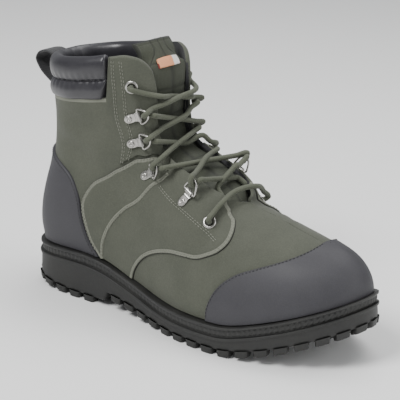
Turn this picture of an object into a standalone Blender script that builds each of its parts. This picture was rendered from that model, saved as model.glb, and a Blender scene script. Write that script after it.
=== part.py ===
"""Right wading boot: sole, upper, collar, tongue, lace and lacing hardware as solids.

X points to the toe, Y to the inner side of the foot and Z up; sizes are in metres. The boot is
worked out with the back of its heel at x = 0 and the floor at z = 0, and is then moved so that
the middle of its box stands over the origin.
"""
import functools
import math

import bmesh
import bpy
import numpy as np
from mathutils import Matrix, Vector

# Driving dimensions of the sole
SOLE_LENGTH = 0.310
HEEL_WIDTH = 0.083
WAIST_WIDTH = 0.0795
BALL_WIDTH = 0.1145
SWING = 0.005  # how far the sole's middle line bends towards the outer and inner side
HEEL_THICKNESS = 0.028
BALL_THICKNESS = 0.0135
TOE_THICKNESS = 0.017
TOE_SPRING = 0.028
SPRING_START = 0.6935 * SOLE_LENGTH
BREAST = 0.2871 * SOLE_LENGTH  # front of the heel block
BREAST_SLOPE = 0.004
ARCH_LIFT = 0.0075
HEEL_ROLL = 0.0060  # rise of the heel's underside at its back edge
HEEL_ROLL_START = 0.1935 * SOLE_LENGTH
LUG_DEPTH = 0.0045
LUG_PITCH = 0.0262
LUG_REACH = 0.0088
LUG_WAIST = 0.40  # share of the reach at which a star lug's hollows lie
LUG_ROOT = 0.0008  # how far a lug reaches up into the sole
LUG_MARGIN = 0.0183  # nearest that a star lug's middle comes to the sole's edge
LUG_START = (0.004, 0.001)  # place of the star lattice along and across
EDGE_PITCH = 0.0150
EDGE_DEPTH = 0.0080
EDGE_SHARE = 0.72  # share of the pitch that an edge lug fills
EDGE_PROUD = 0.0006
EDGE_ROUND = 0.0022
LIP_HEIGHT = 0.0026
LIP_STEP = 0.0009
WELT_HEIGHT = 0.0080
WELT_GROOVE = 0.0022
WELT_ROUND = 0.0010
INSOLE_PLAY = 0.0012
INSOLE_HEIGHT = 0.0040
INSOLE_ROUND = 0.0015

# Driving dimensions of the upper
FEATHER_INSET = 0.0060  # from the sole's edge in to the upper's foot
WALL = 0.0025
COLLAR_HEIGHT = 0.187
FACING_HEIGHT = 0.2005
SHAFT_BACK = 0.04516 * SOLE_LENGTH
SHAFT_FRONT = 0.3984 * SOLE_LENGTH
SHAFT_WIDTH = 0.079
THROAT_GAP = 0.037
THROAT_END = 0.6387 * SOLE_LENGTH
INSTEP_HEIGHT = 0.098
TOE_HEIGHT = 0.0807
TOE_ROUND = 0.8726 * SOLE_LENGTH  # where the toe box's top begins to fall to the tip
RIDGE_SHIFT = 0.003
MEDIAL_LIFT = 0.0045
HEEL_BULGE = 0.0034
ANKLE_NARROWING = 0.0058
COLLAR_FOOT = 0.79  # share of the shaft's height where the padded collar starts
COLLAR_PAD = 0.0040
OVERLAY = 0.0011  # thickness of the panels sewn onto the upper
CAP_WALL = 0.0014  # thickness of the coated toe cap and heel counter
TONGUE_PAD = 0.0050
TONGUE_LAP = 0.0140  # how far the tongue reaches under each facing
TONGUE_CROWN = 0.0030
TONGUE_BOW = 0.0050  # how far the tongue's free end curves back at its sides
TAB_WIDTH = 0.0240
TAB_HEIGHT = 0.0100
TAB_PLACE = 0.977  # of the facing's height, where the tab's middle lies on the tongue
TAB_THICKNESS = 0.0008

# Driving dimensions of the lacing
LACE = 0.0040
LACE_SIDES = 5
LACE_PLAY = 0.0016  # clearance of the lace over what it lies on
EYELET_RADIUS = 0.0052
EYELET_HOLE = 0.0027
EYELET_HEIGHT = 0.0010
EYELET_SIDES = 10
CLIP_WIDTH = 0.0066
CLIP_TAIL = 0.0038  # from the rivet back to the clip's end
CLIP_LENGTH = 0.0090  # from the rivet to the ring's bar
CLIP_THICKNESS = 0.0009
CLIP_LIFT = 0.0004  # clearance of the flat clip over the highest place of the panel under it
RING_WIRE = 0.0016
RING_WIDTH = 0.0100
RING_REACH = 0.0105
RING_TILT = math.radians(26)
BAR_SLACK = 0.0125  # how high the lowest bar of the lace arches over the vamp

# Driving dimensions of the pull loop
LOOP_WIDTH = 0.0180
LOOP_THICKNESS = 0.0018
LOOP_REACH = 0.0225

# Clearance between neighbouring solids, and of the covers over the upper
GAP = 0.0003
STANDING_GAP = 3 * GAP  # where facets of two curved pieces don't follow each other
COVER_GAP = 2 * GAP
COVER_FOOT = 0.015  # share of the upper's height where the covers start, clear of the welt


def columns(names, *rows):
    """Turn the rows of a table into named columns."""
    return dict(zip(names.split(), np.array(rows, dtype=float).T))


def turn(along):
    """Give 0 at the heel's back and 1 at the toe, spaced so that round ends come out round."""
    return np.arccos(1 - 2 * np.clip(along, 0, 1)) / np.pi


def curve(xs, ys, x):
    """Read a cubic through the rows of a table, with slopes taken from the neighbouring rows."""
    slope = np.gradient(ys, xs)
    k = np.clip(np.searchsorted(xs, x) - 1, 0, len(xs) - 2)
    step = xs[k + 1] - xs[k]
    u = np.clip((x - xs[k]) / step, 0, 1)
    rest = 1 - u
    return (
        ys[k] * (1 + 2 * u) * rest**2
        + slope[k] * step * u * rest**2
        + ys[k + 1] * (3 - 2 * u) * u**2
        - slope[k + 1] * step * rest * u**2
    )


# Half width of the sole and bend of its middle line at places along its length
OUTLINE = columns(
    "along half middle",
    (0.000, 0.000 * HEEL_WIDTH, 0.00 * SWING),
    (0.022, 0.313 * HEEL_WIDTH, 0.00 * SWING),
    (0.054, 0.428 * HEEL_WIDTH, 0.00 * SWING),
    (0.100, 0.488 * HEEL_WIDTH, 0.00 * SWING),
    (0.160, 0.500 * HEEL_WIDTH, -0.10 * SWING),
    (0.240, 0.488 * HEEL_WIDTH, -0.30 * SWING),
    (0.320, 0.500 * WAIST_WIDTH, -0.65 * SWING),
    (0.400, 0.522 * WAIST_WIDTH, -0.90 * SWING),
    (0.480, 0.404 * BALL_WIDTH, -1.05 * SWING),
    (0.560, 0.454 * BALL_WIDTH, -1.00 * SWING),
    (0.640, 0.490 * BALL_WIDTH, -0.80 * SWING),
    (0.720, 0.494 * BALL_WIDTH, -0.60 * SWING),
    (0.800, 0.458 * BALL_WIDTH, -0.45 * SWING),
    (0.865, 0.398 * BALL_WIDTH, -0.40 * SWING),
    (0.923, 0.312 * BALL_WIDTH, -0.25 * SWING),
    (0.965, 0.220 * BALL_WIDTH, -0.10 * SWING),
    (0.990, 0.122 * BALL_WIDTH, 0.00 * SWING),
    (1.000, 0.000 * BALL_WIDTH, 0.00 * SWING),
)

# Thickness of the outsole along its length, lugs included
PROFILE = columns(
    "along thick",
    (0.00, 1.00 * HEEL_THICKNESS),
    (0.28, 0.98 * HEEL_THICKNESS),
    (0.39, 0.71 * HEEL_THICKNESS),
    (0.49, 1.07 * BALL_THICKNESS),
    (0.65, 1.00 * BALL_THICKNESS),
    (0.80, 0.94 * TOE_THICKNESS),
    (1.00, 1.00 * TOE_THICKNESS),
)

# Rise of the arch's underside in front of the heel block
ARCH = columns(
    "along lift",
    (0.30, 1.00 * ARCH_LIFT),
    (0.37, 0.72 * ARCH_LIFT),
    (0.44, 0.35 * ARCH_LIFT),
    (0.53, 0.00 * ARCH_LIFT),
    (0.60, 0.00 * ARCH_LIFT),
)

# Upper edge of the outer shell, from the collar's back over the facing to the ridge of the toe
TOPLINE = columns(
    "along x half height lift",
    (0.0000, 1.00 * SHAFT_BACK, 0.000 * SHAFT_WIDTH, 1.000 * COLLAR_HEIGHT, 0),
    (0.0096, 1.18 * SHAFT_BACK, 0.165 * SHAFT_WIDTH, 1.002 * COLLAR_HEIGHT, 0),
    (0.0385, 0.210 * SHAFT_FRONT, 0.330 * SHAFT_WIDTH, 1.008 * COLLAR_HEIGHT, 0),
    (0.0865, 0.340 * SHAFT_FRONT, 0.456 * SHAFT_WIDTH, 1.018 * COLLAR_HEIGHT, 0),
    (0.1440, 0.486 * SHAFT_FRONT, 0.500 * SHAFT_WIDTH, 1.030 * COLLAR_HEIGHT, 0),
    (0.1990, 0.632 * SHAFT_FRONT, 0.494 * SHAFT_WIDTH, 1.046 * COLLAR_HEIGHT, 0),
    (0.2500, 0.761 * SHAFT_FRONT, 0.456 * SHAFT_WIDTH, 0.992 * FACING_HEIGHT, 0),
    (0.2880, 0.866 * SHAFT_FRONT, 0.392 * SHAFT_WIDTH, 1.000 * FACING_HEIGHT, 0),
    (0.3140, 0.943 * SHAFT_FRONT, 0.689 * THROAT_GAP, 0.983 * FACING_HEIGHT, 0),
    (0.3330, 0.984 * SHAFT_FRONT, 0.581 * THROAT_GAP, 0.948 * FACING_HEIGHT, 0),
    (0.3526, 1.000 * SHAFT_FRONT, 0.527 * THROAT_GAP, 0.893 * FACING_HEIGHT, 0),
    (0.3846, 0.996 * SHAFT_FRONT, 0.500 * THROAT_GAP, 0.808 * FACING_HEIGHT, 0.0),
    (0.4167, 1.004 * SHAFT_FRONT, 0.500 * THROAT_GAP, 0.723 * FACING_HEIGHT, 0.2),
    (0.4487, 0.662 * THROAT_END, 0.514 * THROAT_GAP, 1.316 * INSTEP_HEIGHT, 0.6),
    (0.4808, 0.747 * THROAT_END, 0.527 * THROAT_GAP, 1.209 * INSTEP_HEIGHT, 1.0),
    (0.5128, 0.848 * THROAT_END, 0.500 * THROAT_GAP, 1.128 * INSTEP_HEIGHT, 1.0),
    (0.5449, 0.939 * THROAT_END, 0.400 * THROAT_GAP, 1.056 * INSTEP_HEIGHT, 0.8),
    (0.5705, 0.985 * THROAT_END, 0.220 * THROAT_GAP, 1.015 * INSTEP_HEIGHT, 0.3),
    (0.5865, 1.000 * THROAT_END, 0.000 * THROAT_GAP, 1.000 * INSTEP_HEIGHT, 0),
    (0.6730, 1.106 * THROAT_END, 0.000 * THROAT_GAP, 0.952 * INSTEP_HEIGHT, 0),
    (0.7690, 0.886 * TOE_ROUND, 0.000 * THROAT_GAP, 1.084 * TOE_HEIGHT, 0),
    (0.8490, 0.945 * TOE_ROUND, 0.000 * THROAT_GAP, 1.035 * TOE_HEIGHT, 0),
    (0.9230, 0.978 * TOE_ROUND, 0.000 * THROAT_GAP, 1.010 * TOE_HEIGHT, 0),
    (1.0000, 1.000 * TOE_ROUND, 0.000 * THROAT_GAP, 1.000 * TOE_HEIGHT, 0),
)
COLLAR_FRONT = TOPLINE["along"][6]
VAMP_POINT = TOPLINE["along"][18]

# Outward swell of the shaft over its height, at the heel's back and at its sides
SWELL = columns(
    "share back side",
    (0.00, 0.00 * HEEL_BULGE, 0.00 * HEEL_BULGE),
    (0.10, 0.95 * HEEL_BULGE, 0.65 * HEEL_BULGE),
    (0.20, 0.80 * HEEL_BULGE, 0.85 * HEEL_BULGE),
    (0.32, 0.05 * HEEL_BULGE, 0.30 * HEEL_BULGE),
    (0.43, -0.60 * ANKLE_NARROWING, -0.30 * ANKLE_NARROWING),
    (0.56, -1.00 * ANKLE_NARROWING, -0.50 * ANKLE_NARROWING),
    (0.70, -0.80 * ANKLE_NARROWING, -0.45 * ANKLE_NARROWING),
    (0.80, -0.38 * ANKLE_NARROWING, -0.20 * ANKLE_NARROWING),
    (1.00, 0.00 * ANKLE_NARROWING, 0.00 * ANKLE_NARROWING),
)

# Edge of the toe cap: height on the upper's columns, from the sole to the ridge
CAP_EDGE = columns(
    "along share",
    (0.650, 0.00),
    (0.652, 0.09),
    (0.667, 0.20),
    (0.692, 0.30),
    (0.719, 0.37),
    (0.760, 0.44),
    (0.813, 0.54),
    (0.851, 0.64),
    (0.894, 0.80),
    (0.930, 1.00),
    (1.000, 1.00),
)

# Edge of the heel counter: from its tip at the back down to the sole
COUNTER_EDGE = columns(
    "along share",
    (0.000, 0.530),
    (0.030, 0.505),
    (0.085, 0.460),
    (0.143, 0.400),
    (0.186, 0.294),
    (0.209, 0.160),
    (0.232, 0.060),
    (0.258, 0.000),
)

# Edges of the sewn panels of one side, from the sole up
STRAP_REAR = columns(
    "along share",
    (0.264, 0.002),
    (0.238, 0.062),
    (0.214, 0.160),
    (0.200, 0.270),
    (0.2215, 0.364),
    (0.2794, 0.439),
    (0.3233, 0.500),
    (0.409, 0.695),
    (0.4435, 0.846),
)
STRAP_FRONT = columns(
    "along share",
    (0.279, 0.008),
    (0.2798, 0.070),
    (0.2964, 0.169),
    (0.3315, 0.269),
    (0.3929, 0.403),
    (0.4330, 0.560),
    (0.4612, 0.703),
    (0.4712, 0.802),
)
QUARTER_REAR = columns(
    "along share",
    (0.2825, 0.008),
    (0.2833, 0.070),
    (0.3000, 0.166),
    (0.3350, 0.264),
    (0.3965, 0.396),
    (0.4370, 0.555),
    (0.4650, 0.700),
    (0.4750, 0.802),
    (0.4700, 1.050),
)
QUARTER_FRONT = columns(
    "along share",
    (0.3799, 0.001),
    (0.3846, 0.035),
    (0.4075, 0.112),
    (0.4516, 0.208),
    (0.4981, 0.278),
    (0.5523, 0.335),
    (0.5958, 0.373),
    (0.6116, 0.399),
    (0.6425, 0.469),
    (0.6555, 0.560),
    (0.6484, 0.667),
    (0.6222, 0.769),
    (0.5869, 0.823),
    (0.5624, 0.902),
    (0.5500, 1.000),
)
FACING_REAR = columns(
    "along share",
    (0.2914, 0.470),
    (0.2898, 0.561),
    (0.2676, 0.696),
    (0.2597, 0.832),
    (0.2530, 0.930),
    (0.2500, 1.000),
)
FACING_FOOT = columns(
    "along share",
    (0.4420, 0.990),
    (0.4380, 0.850),
    (0.4050, 0.700),
    (0.3200, 0.510),
)

# Free end of the tongue, from its top down
TONGUE_TOP = columns(
    "height front half",
    (1.050 * FACING_HEIGHT, 0.878 * SHAFT_FRONT, 0.270 * SHAFT_WIDTH),
    (1.006 * FACING_HEIGHT, 0.930 * SHAFT_FRONT, 0.270 * SHAFT_WIDTH),
)
# Rows of the tongue along the throat, with its clearance under the upper's wall
TONGUE_ROWS = columns(
    "along clear",
    (0.3330, STANDING_GAP),
    (0.3526, STANDING_GAP),
    (0.3846, STANDING_GAP),
    (0.4167, 8 * GAP),
    (0.4487, 12 * GAP),
    (0.4808, 6 * GAP),
    (0.5128, 6 * GAP),
    (0.5449, 12 * GAP),
)
# Root of the tongue under the vamp
TONGUE_ROOT = columns(
    "front half height",
    (0.985 * THROAT_END, 0.80 * TONGUE_LAP, 0.928 * INSTEP_HEIGHT),
    (1.060 * THROAT_END, 0.75 * TONGUE_LAP, 0.922 * INSTEP_HEIGHT),
)
TONGUE_DROOP = 0.0028  # fall of the root from its middle to its sides

# Places of the clips of one side on the upper, from the top down, and the angle at which each points
CLIPS = columns(
    "along share aim",
    (0.3020, 0.6930, 18),
    (0.3153, 0.5761, 18),
    (0.3922, 0.5316, 31),
    (0.5075, 0.6650, 64),
)
TOP_EYELET = (0.3007, 0.8524)
LOW_EYELET = (0.5732, 0.6556)
DRAINS = columns(
    "along share under",
    (0.366, 0.200, 1),
    (0.520, 0.150, 0),
)

# Shape of a D-ring in its own plane: across and away from its bar
RING_SHAPE = columns(
    "across reach",
    (-0.50 * RING_WIDTH, 0.00 * RING_REACH),
    (0.50 * RING_WIDTH, 0.00 * RING_REACH),
    (0.52 * RING_WIDTH, 0.42 * RING_REACH),
    (0.32 * RING_WIDTH, 0.85 * RING_REACH),
    (0.00 * RING_WIDTH, 1.00 * RING_REACH),
    (-0.32 * RING_WIDTH, 0.85 * RING_REACH),
    (-0.52 * RING_WIDTH, 0.42 * RING_REACH),
)

# Angles, in degrees, of the corners of a clip's fold round the ring's bar
FOLD = (-90, -20, 50, 120, 185)

# Pull loop in side view: share of the way down the collar and share of its reach
LOOP = columns(
    "down reach",
    (0.00, 0.00),
    (-0.06, 0.45),
    (0.04, 0.85),
    (0.24, 1.00),
    (0.52, 0.86),
    (0.80, 0.50),
    (1.00, 0.00),
)

LATERAL = -1
MEDIAL = 1


def sole_edge(side, t, inset=0.0):
    """Point of the sole's outline on one side, moved in by the inset along its normal."""
    t = np.asarray(t, dtype=float)

    def edge(u):
        rows = turn(OUTLINE["along"])
        half = curve(rows, OUTLINE["half"], np.clip(u, 0, 1))
        middle = curve(rows, OUTLINE["middle"], np.clip(u, 0, 1))
        x = SOLE_LENGTH * (1 - np.cos(np.pi * u)) / 2
        return np.stack([x, middle + side * np.where((u < 0) | (u > 1), -half, half)], -1)

    small = 1e-4
    back = edge(np.clip(t - small, 0, 1))
    ahead = edge(np.clip(t + small, 0, 1))
    along = (ahead - back) / np.linalg.norm(ahead - back, axis=-1, keepdims=True)
    along[t <= small] = (0, side)
    along[t >= 1 - small] = (0, -side)
    inward = np.stack([along[..., 1], -along[..., 0]], -1) * side
    return edge(t) + inset * inward


def spring(x):
    """Rise of the sole towards the toe."""
    share = np.clip((x - SPRING_START) / (SOLE_LENGTH - SPRING_START), 0, 1)
    return TOE_SPRING * share**1.5


def sole_bottom(x):
    """Height of the outsole's base above the floor, over its lugs: heel, breast, arch and ball."""
    arch = curve(ARCH["along"], ARCH["lift"], np.clip(x / SOLE_LENGTH, 0.30, 0.60))
    step = np.clip((x - BREAST) / BREAST_SLOPE, 0, 1)
    roll = HEEL_ROLL * np.clip(1 - x / HEEL_ROLL_START, 0, 1) ** 1.5
    return LUG_DEPTH + arch * step + roll + spring(x)


def sole_top(x):
    """Height of the outsole's upper face."""
    return curve(PROFILE["along"], PROFILE["thick"], np.clip(x / SOLE_LENGTH, 0, 1)) + spring(x)


def welt_top(x):
    """Height of the face that the upper stands on."""
    return sole_top(x) + GAP + WELT_HEIGHT


def upper_point(side, t, v, out=0.0):
    """Point of the upper's outer face: t runs from heel to toe, v from the sole to the top edge.

    Each column rises from the sole's edge to the top line. At the shaft it is a straight line
    with the swell added; over the forefoot it is a quarter of an ellipse, upright at the sole
    and level at the ridge; between them the two are mixed.
    """
    t, v = np.broadcast_arrays(np.asarray(t, dtype=float), np.asarray(v, dtype=float))
    rows = turn(TOPLINE["along"])
    foot = sole_edge(side, t, FEATHER_INSET)
    foot_z = welt_top(foot[..., 0]) + STANDING_GAP
    top_x = curve(rows, TOPLINE["x"], t)
    half = np.maximum(curve(rows, TOPLINE["half"], t), 0)
    half = np.where(t >= turn(VAMP_POINT), 0, half)
    closing = np.clip((t - turn(0.50)) / (turn(0.74) - turn(0.50)), 0, 1)
    soft = np.where(closing > 0, 0.5 * THROAT_GAP * (1 - closing * closing * (3 - 2 * closing)), half)
    near_top = np.clip((v - 0.5) / 0.5, 0, 1)
    half = soft + (half - soft) * near_top * near_top * (3 - 2 * near_top)
    forward = np.clip((t - turn(0.20)) / (turn(0.50) - turn(0.20)), 0, 1)
    top_y = side * half + RIDGE_SHIFT * forward**2 * (3 - 2 * forward)
    top_z = curve(rows, TOPLINE["height"], t)
    if side == MEDIAL:
        lift = np.where(t >= turn(VAMP_POINT), 0, curve(rows, TOPLINE["lift"], t))
        top_z = top_z + MEDIAL_LIFT * np.clip(lift, 0, 1)
    arch = np.clip((t - turn(0.24)) / (turn(0.56) - turn(0.24)), 0, 1)
    arch = arch * arch * (3 - 2 * arch)
    across = (1 - arch) * v + arch * (1 - np.cos(v * np.pi / 2))
    rise = (1 - arch) * v + arch * np.sin(v * np.pi / 2)
    round_back = np.cos(np.clip(t / turn(0.14), 0, 1) * np.pi / 2) ** 2
    swell = round_back * curve(SWELL["share"], SWELL["back"], v)
    swell = swell + (1 - round_back) * curve(SWELL["share"], SWELL["side"], v)
    swell = swell * (1 - arch)
    outward = foot - sole_edge(side, t, FEATHER_INSET + 0.001)
    outward = outward / np.linalg.norm(outward, axis=-1, keepdims=True)
    plan = foot + across[..., None] * (np.stack([top_x, top_y], -1) - foot)
    plan = plan + outward * swell[..., None]
    point = np.concatenate([plan, (foot_z + rise * (top_z - foot_z))[..., None]], -1)
    if np.ndim(out) or out:
        point = point + upper_normal(side, t, v) * np.asarray(out)[..., None]
    return point


def upper_normal(side, t, v):
    """Outward normal of the upper's outer face."""
    step = 2e-3
    v = np.clip(v, 0, 1)
    t0, t1 = np.clip(t - step, 0, 1), np.clip(t + step, 0, 1)
    v0, v1 = np.clip(v - step, 0, 1), np.clip(v + step, 0, 1)
    along = upper_point(side, t1, v) - upper_point(side, t0, v)
    up = upper_point(side, t, v1) - upper_point(side, t, v0)
    normal = np.cross(along, up) * -side
    normal = normal / np.linalg.norm(normal, axis=-1, keepdims=True)
    middle = (np.asarray(t) <= step) | (np.asarray(t) >= 1 - step)
    ridge = (np.asarray(v) >= 1 - step) & (np.asarray(t) >= turn(VAMP_POINT))
    flat = normal.copy()
    flat[..., 1] = 0
    flat = flat / np.linalg.norm(flat, axis=-1, keepdims=True)
    return np.where((middle | ridge)[..., None], flat, normal)


def clear_scene():
    for item in list(bpy.data.objects):
        bpy.data.objects.remove(item, do_unlink=True)


def material(name, colour, roughness, metallic=0.0):
    """Principled material of one finish."""
    made = bpy.data.materials.new(name)
    made.use_nodes = True
    shader = made.node_tree.nodes["Principled BSDF"]
    shader.inputs["Base Color"].default_value = (*colour, 1)
    shader.inputs["Roughness"].default_value = roughness
    shader.inputs["Metallic"].default_value = metallic
    return made


def add_object(name, points, faces, finish, smooth_angle=40):
    """Make a mesh object, merge its doubled points and turn its faces outward."""
    mesh = bpy.data.meshes.new(name)
    mesh.from_pydata([tuple(p) for p in points], [], faces)
    work = bmesh.new()
    work.from_mesh(mesh)
    bmesh.ops.remove_doubles(work, verts=work.verts, dist=1e-6)
    bmesh.ops.dissolve_degenerate(work, edges=work.edges, dist=1e-7)
    bmesh.ops.recalc_face_normals(work, faces=work.faces)
    work.to_mesh(mesh)
    work.free()
    mesh.shade_smooth()
    mesh.set_sharp_from_angle(angle=math.radians(smooth_angle))
    made = bpy.data.objects.new(name, mesh)
    bpy.context.scene.collection.objects.link(made)
    made.data.materials.append(finish)
    return made


def add_sheet(name, points, faces, finish, thickness, outward):
    """Make an open sheet that faces away from the boot's core, and thicken it in or out."""
    sheet = add_object(name, points, faces, finish)
    core = Vector((0.35 * SOLE_LENGTH, 0, 0.25 * COLLAR_HEIGHT))
    if sum(face.area * face.normal.dot(face.center - core) for face in sheet.data.polygons) < 0:
        sheet.data.flip_normals()
    wall = sheet.modifiers.new("thickness", "SOLIDIFY")
    wall.thickness = thickness
    wall.offset = 1 if outward else -1
    wall.use_even_offset = False
    return sheet


def grid_faces(rows, cols, first=0, closed=False):
    """Quads of a grid whose points run column by column inside each row."""
    span = cols if closed else cols - 1
    return [
        (
            first + r * cols + c,
            first + r * cols + (c + 1) % cols,
            first + (r + 1) * cols + (c + 1) % cols,
            first + (r + 1) * cols + c,
        )
        for r in range(rows - 1)
        for c in range(span)
    ]


def stations(count, *extra):
    """Places along the boot, evenly turned from heel to toe, with those that need a line."""
    even = np.linspace(0, 1, count)
    wanted = turn(np.array(extra))
    keep = [t for t in even if not len(wanted) or np.min(np.abs(t - wanted)) > 0.3 / count]
    return np.sort(np.concatenate([keep, wanted]))


def sole_loop(t, inset, height):
    """Closed ring round the sole at the inset, with its height read at each x."""
    outer = sole_edge(LATERAL, t, inset)
    inner = sole_edge(MEDIAL, t[1:-1][::-1], inset)
    plan = np.concatenate([outer, inner])
    return np.column_stack([plan, height(plan[:, 0])])


def sole_layer(name, t, rings, finish):
    """Closed layer of the sole: rings from bottom to top, with strips across as end faces."""
    count = 2 * len(t) - 2
    points = np.concatenate([sole_loop(t, inset, height) for inset, height in rings])
    faces = grid_faces(len(rings), count, closed=True)
    last = (len(rings) - 1) * count
    for first in (0, last):
        for i in range(len(t) - 1):
            ring = [i, i + 1, (count - i - 1) % count, (count - i) % count]
            faces.append(tuple(dict.fromkeys(first + k for k in ring)))
    return add_object(name, points, faces, finish)


def prism(points, faces, outline, low, high):
    """Add an upright prism over a plan outline, with its ends at heights read at each x."""
    first = len(points)
    n = len(outline)
    points.extend((x, y, low(x)) for x, y in outline)
    points.extend((x, y, high(x)) for x, y in outline)
    faces.append(tuple(first + i for i in range(n)))
    faces.append(tuple(first + n + i for i in reversed(range(n))))
    ahead = [(i + 1) % n for i in range(n)]
    faces.extend((first + i, first + n + i, first + n + j, first + j) for i, j in enumerate(ahead))


def inside_sole(x, y, margin):
    """Tell whether a plan point lies inside the outline by the margin."""
    t = turn(np.array([x / SOLE_LENGTH]))
    low = sole_edge(LATERAL, t)[0, 1] + margin
    high = sole_edge(MEDIAL, t)[0, 1] - margin
    return low < y < high and margin < x < SOLE_LENGTH - margin


def lug_solids():
    """Star lugs on a staggered lattice, and the blocks round the sole's edge."""
    points, faces = [], []
    def tip(x):
        return sole_bottom(x) - LUG_DEPTH

    def root(x):
        return sole_bottom(x) + LUG_ROOT

    rows = int(BALL_WIDTH / LUG_PITCH) * 2 + 2
    cols = int(SOLE_LENGTH / LUG_PITCH) + 1
    for r in range(-rows, rows + 1):
        for c in range(cols + 1):
            x = (c + 0.5 * (r % 2)) * LUG_PITCH + LUG_START[0]
            y = r * LUG_PITCH * 0.5 + LUG_START[1]
            if not inside_sole(x, y, LUG_MARGIN) or abs(x - BREAST - BREAST_SLOPE / 2) < LUG_REACH:
                continue
            flip = 0 if (r + c) % 2 else math.pi
            star = []
            for k in range(6):
                reach = LUG_REACH if k % 2 == 0 else LUG_WAIST * LUG_REACH
                angle = k * math.pi / 3 + flip
                star.append((x + reach * math.cos(angle), y + reach * math.sin(angle)))
            prism(points, faces, star, tip, root)

    t = np.linspace(0, 1, 400)
    ring = np.concatenate([sole_edge(LATERAL, t), sole_edge(MEDIAL, t[1:-1][::-1])])
    run = np.concatenate([[0], np.cumsum(np.linalg.norm(np.diff(ring, axis=0), axis=1))])
    count = int(run[-1] / EDGE_PITCH)
    inner = np.concatenate([sole_edge(LATERAL, t, EDGE_DEPTH), sole_edge(MEDIAL, t[1:-1][::-1], EDGE_DEPTH)])
    for k in range(count):
        ends = [(k + share) * run[-1] / count for share in (0.5 - EDGE_SHARE / 2, 0.5 + EDGE_SHARE / 2)]
        outer = [[np.interp(e, run, ring[:, a]) for a in (0, 1)] for e in ends]
        within = [[np.interp(e, run, inner[:, a]) for a in (0, 1)] for e in ends]
        middle = np.mean([p[0] for p in outer])
        if abs(middle - BREAST - BREAST_SLOPE / 2) < 0.4 * EDGE_PITCH:
            continue
        outward = np.array(outer) - np.array(within)
        outward /= np.linalg.norm(outward, axis=1, keepdims=True)
        block = [tuple(p) for p in np.array(outer) + EDGE_PROUD * outward]
        block += [tuple(p) for p in np.array(within)[::-1]]
        prism(points, faces, block, tip, root)
    return points, faces


def sole_stations():
    """Places along the sole that all its layers share, so that their faces meet evenly."""
    return stations(22, BREAST / SOLE_LENGTH, (BREAST + BREAST_SLOPE) / SOLE_LENGTH)


def build_outsole(finish):
    slab = sole_layer(
        "outsole",
        sole_stations(),
        (
            (EDGE_ROUND, sole_bottom),
            (0.5 * EDGE_ROUND, lambda x: sole_bottom(x) + EDGE_ROUND),
            (LIP_STEP, lambda x: sole_top(x) - LIP_HEIGHT),
            (0.0000, lambda x: sole_top(x) - LIP_HEIGHT * 0.85),
            (0.0000, lambda x: sole_top(x) - LIP_HEIGHT * 0.25),
            (0.9 * LIP_STEP, sole_top),
        ),
        finish,
    )
    points, faces = lug_solids()
    lugs = add_object("lug_cutter", points, faces, finish)
    lugs.hide_render = True
    lugs.display_type = "WIRE"
    join = slab.modifiers.new("lugs", "BOOLEAN")
    join.operation = "UNION"
    join.object = lugs
    return slab


def build_welt(finish):
    def level(share):
        return lambda x: sole_top(x) + GAP + WELT_HEIGHT * share

    return sole_layer(
        "welt",
        sole_stations(),
        (
            (WELT_ROUND, level(0.00)),
            (WELT_GROOVE, level(0.06)),
            (WELT_GROOVE, level(0.66)),
            (0.6 * WELT_ROUND, level(0.72)),
            (0.6 * WELT_ROUND, level(0.92)),
            (1.4 * WELT_ROUND, level(1.00)),
        ),
        finish,
    )


def build_insole(finish):
    inset = FEATHER_INSET + WALL + INSOLE_PLAY
    return sole_layer(
        "insole",
        sole_stations(),
        (
            (inset, lambda x: welt_top(x) + GAP),
            (inset, lambda x: welt_top(x) + GAP + 0.8 * INSOLE_HEIGHT),
            (inset + INSOLE_ROUND, lambda x: welt_top(x) + GAP + INSOLE_HEIGHT),
        ),
        finish,
    )


def build_upper(finish):
    t = upper_stations()
    v = upper_levels()
    points, faces = [], []
    for side in (LATERAL, MEDIAL):
        first = len(points)
        grid = upper_point(side, t[:, None], v[None, :])
        points.extend(grid.reshape(-1, 3))
        for i in range(len(t) - 1):
            rows = len(v) - 1 if t[i] >= turn(COLLAR_FRONT) - 1e-9 else np.argmin(np.abs(v - COLLAR_FOOT))
            for j in range(rows):
                a = first + i * len(v) + j
                faces.append((a, a + len(v), a + len(v) + 1, a + 1))
    used = sorted({k for face in faces for k in face})
    place = {k: n for n, k in enumerate(used)}
    points = [points[k] for k in used]
    faces = [tuple(place[k] for k in face) for face in faces]
    return add_sheet("upper", points, faces, finish, WALL, outward=False)


def upper_stations():
    """Columns of the upper, with one at each row of the top line's throat."""
    return stations(20, *TOPLINE["along"][6:19])


def upper_levels():
    """Rows of the upper, with one at the collar's foot."""
    return np.concatenate([np.linspace(0, COLLAR_FOOT, 8), np.linspace(COLLAR_FOOT, 1, 4)[1:]])


def seam(table, side=LATERAL):
    """Side view of a seam given by its columns and shares on the upper."""
    return upper_point(side, turn(table["along"]), table["share"])[:, [0, 2]]


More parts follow.
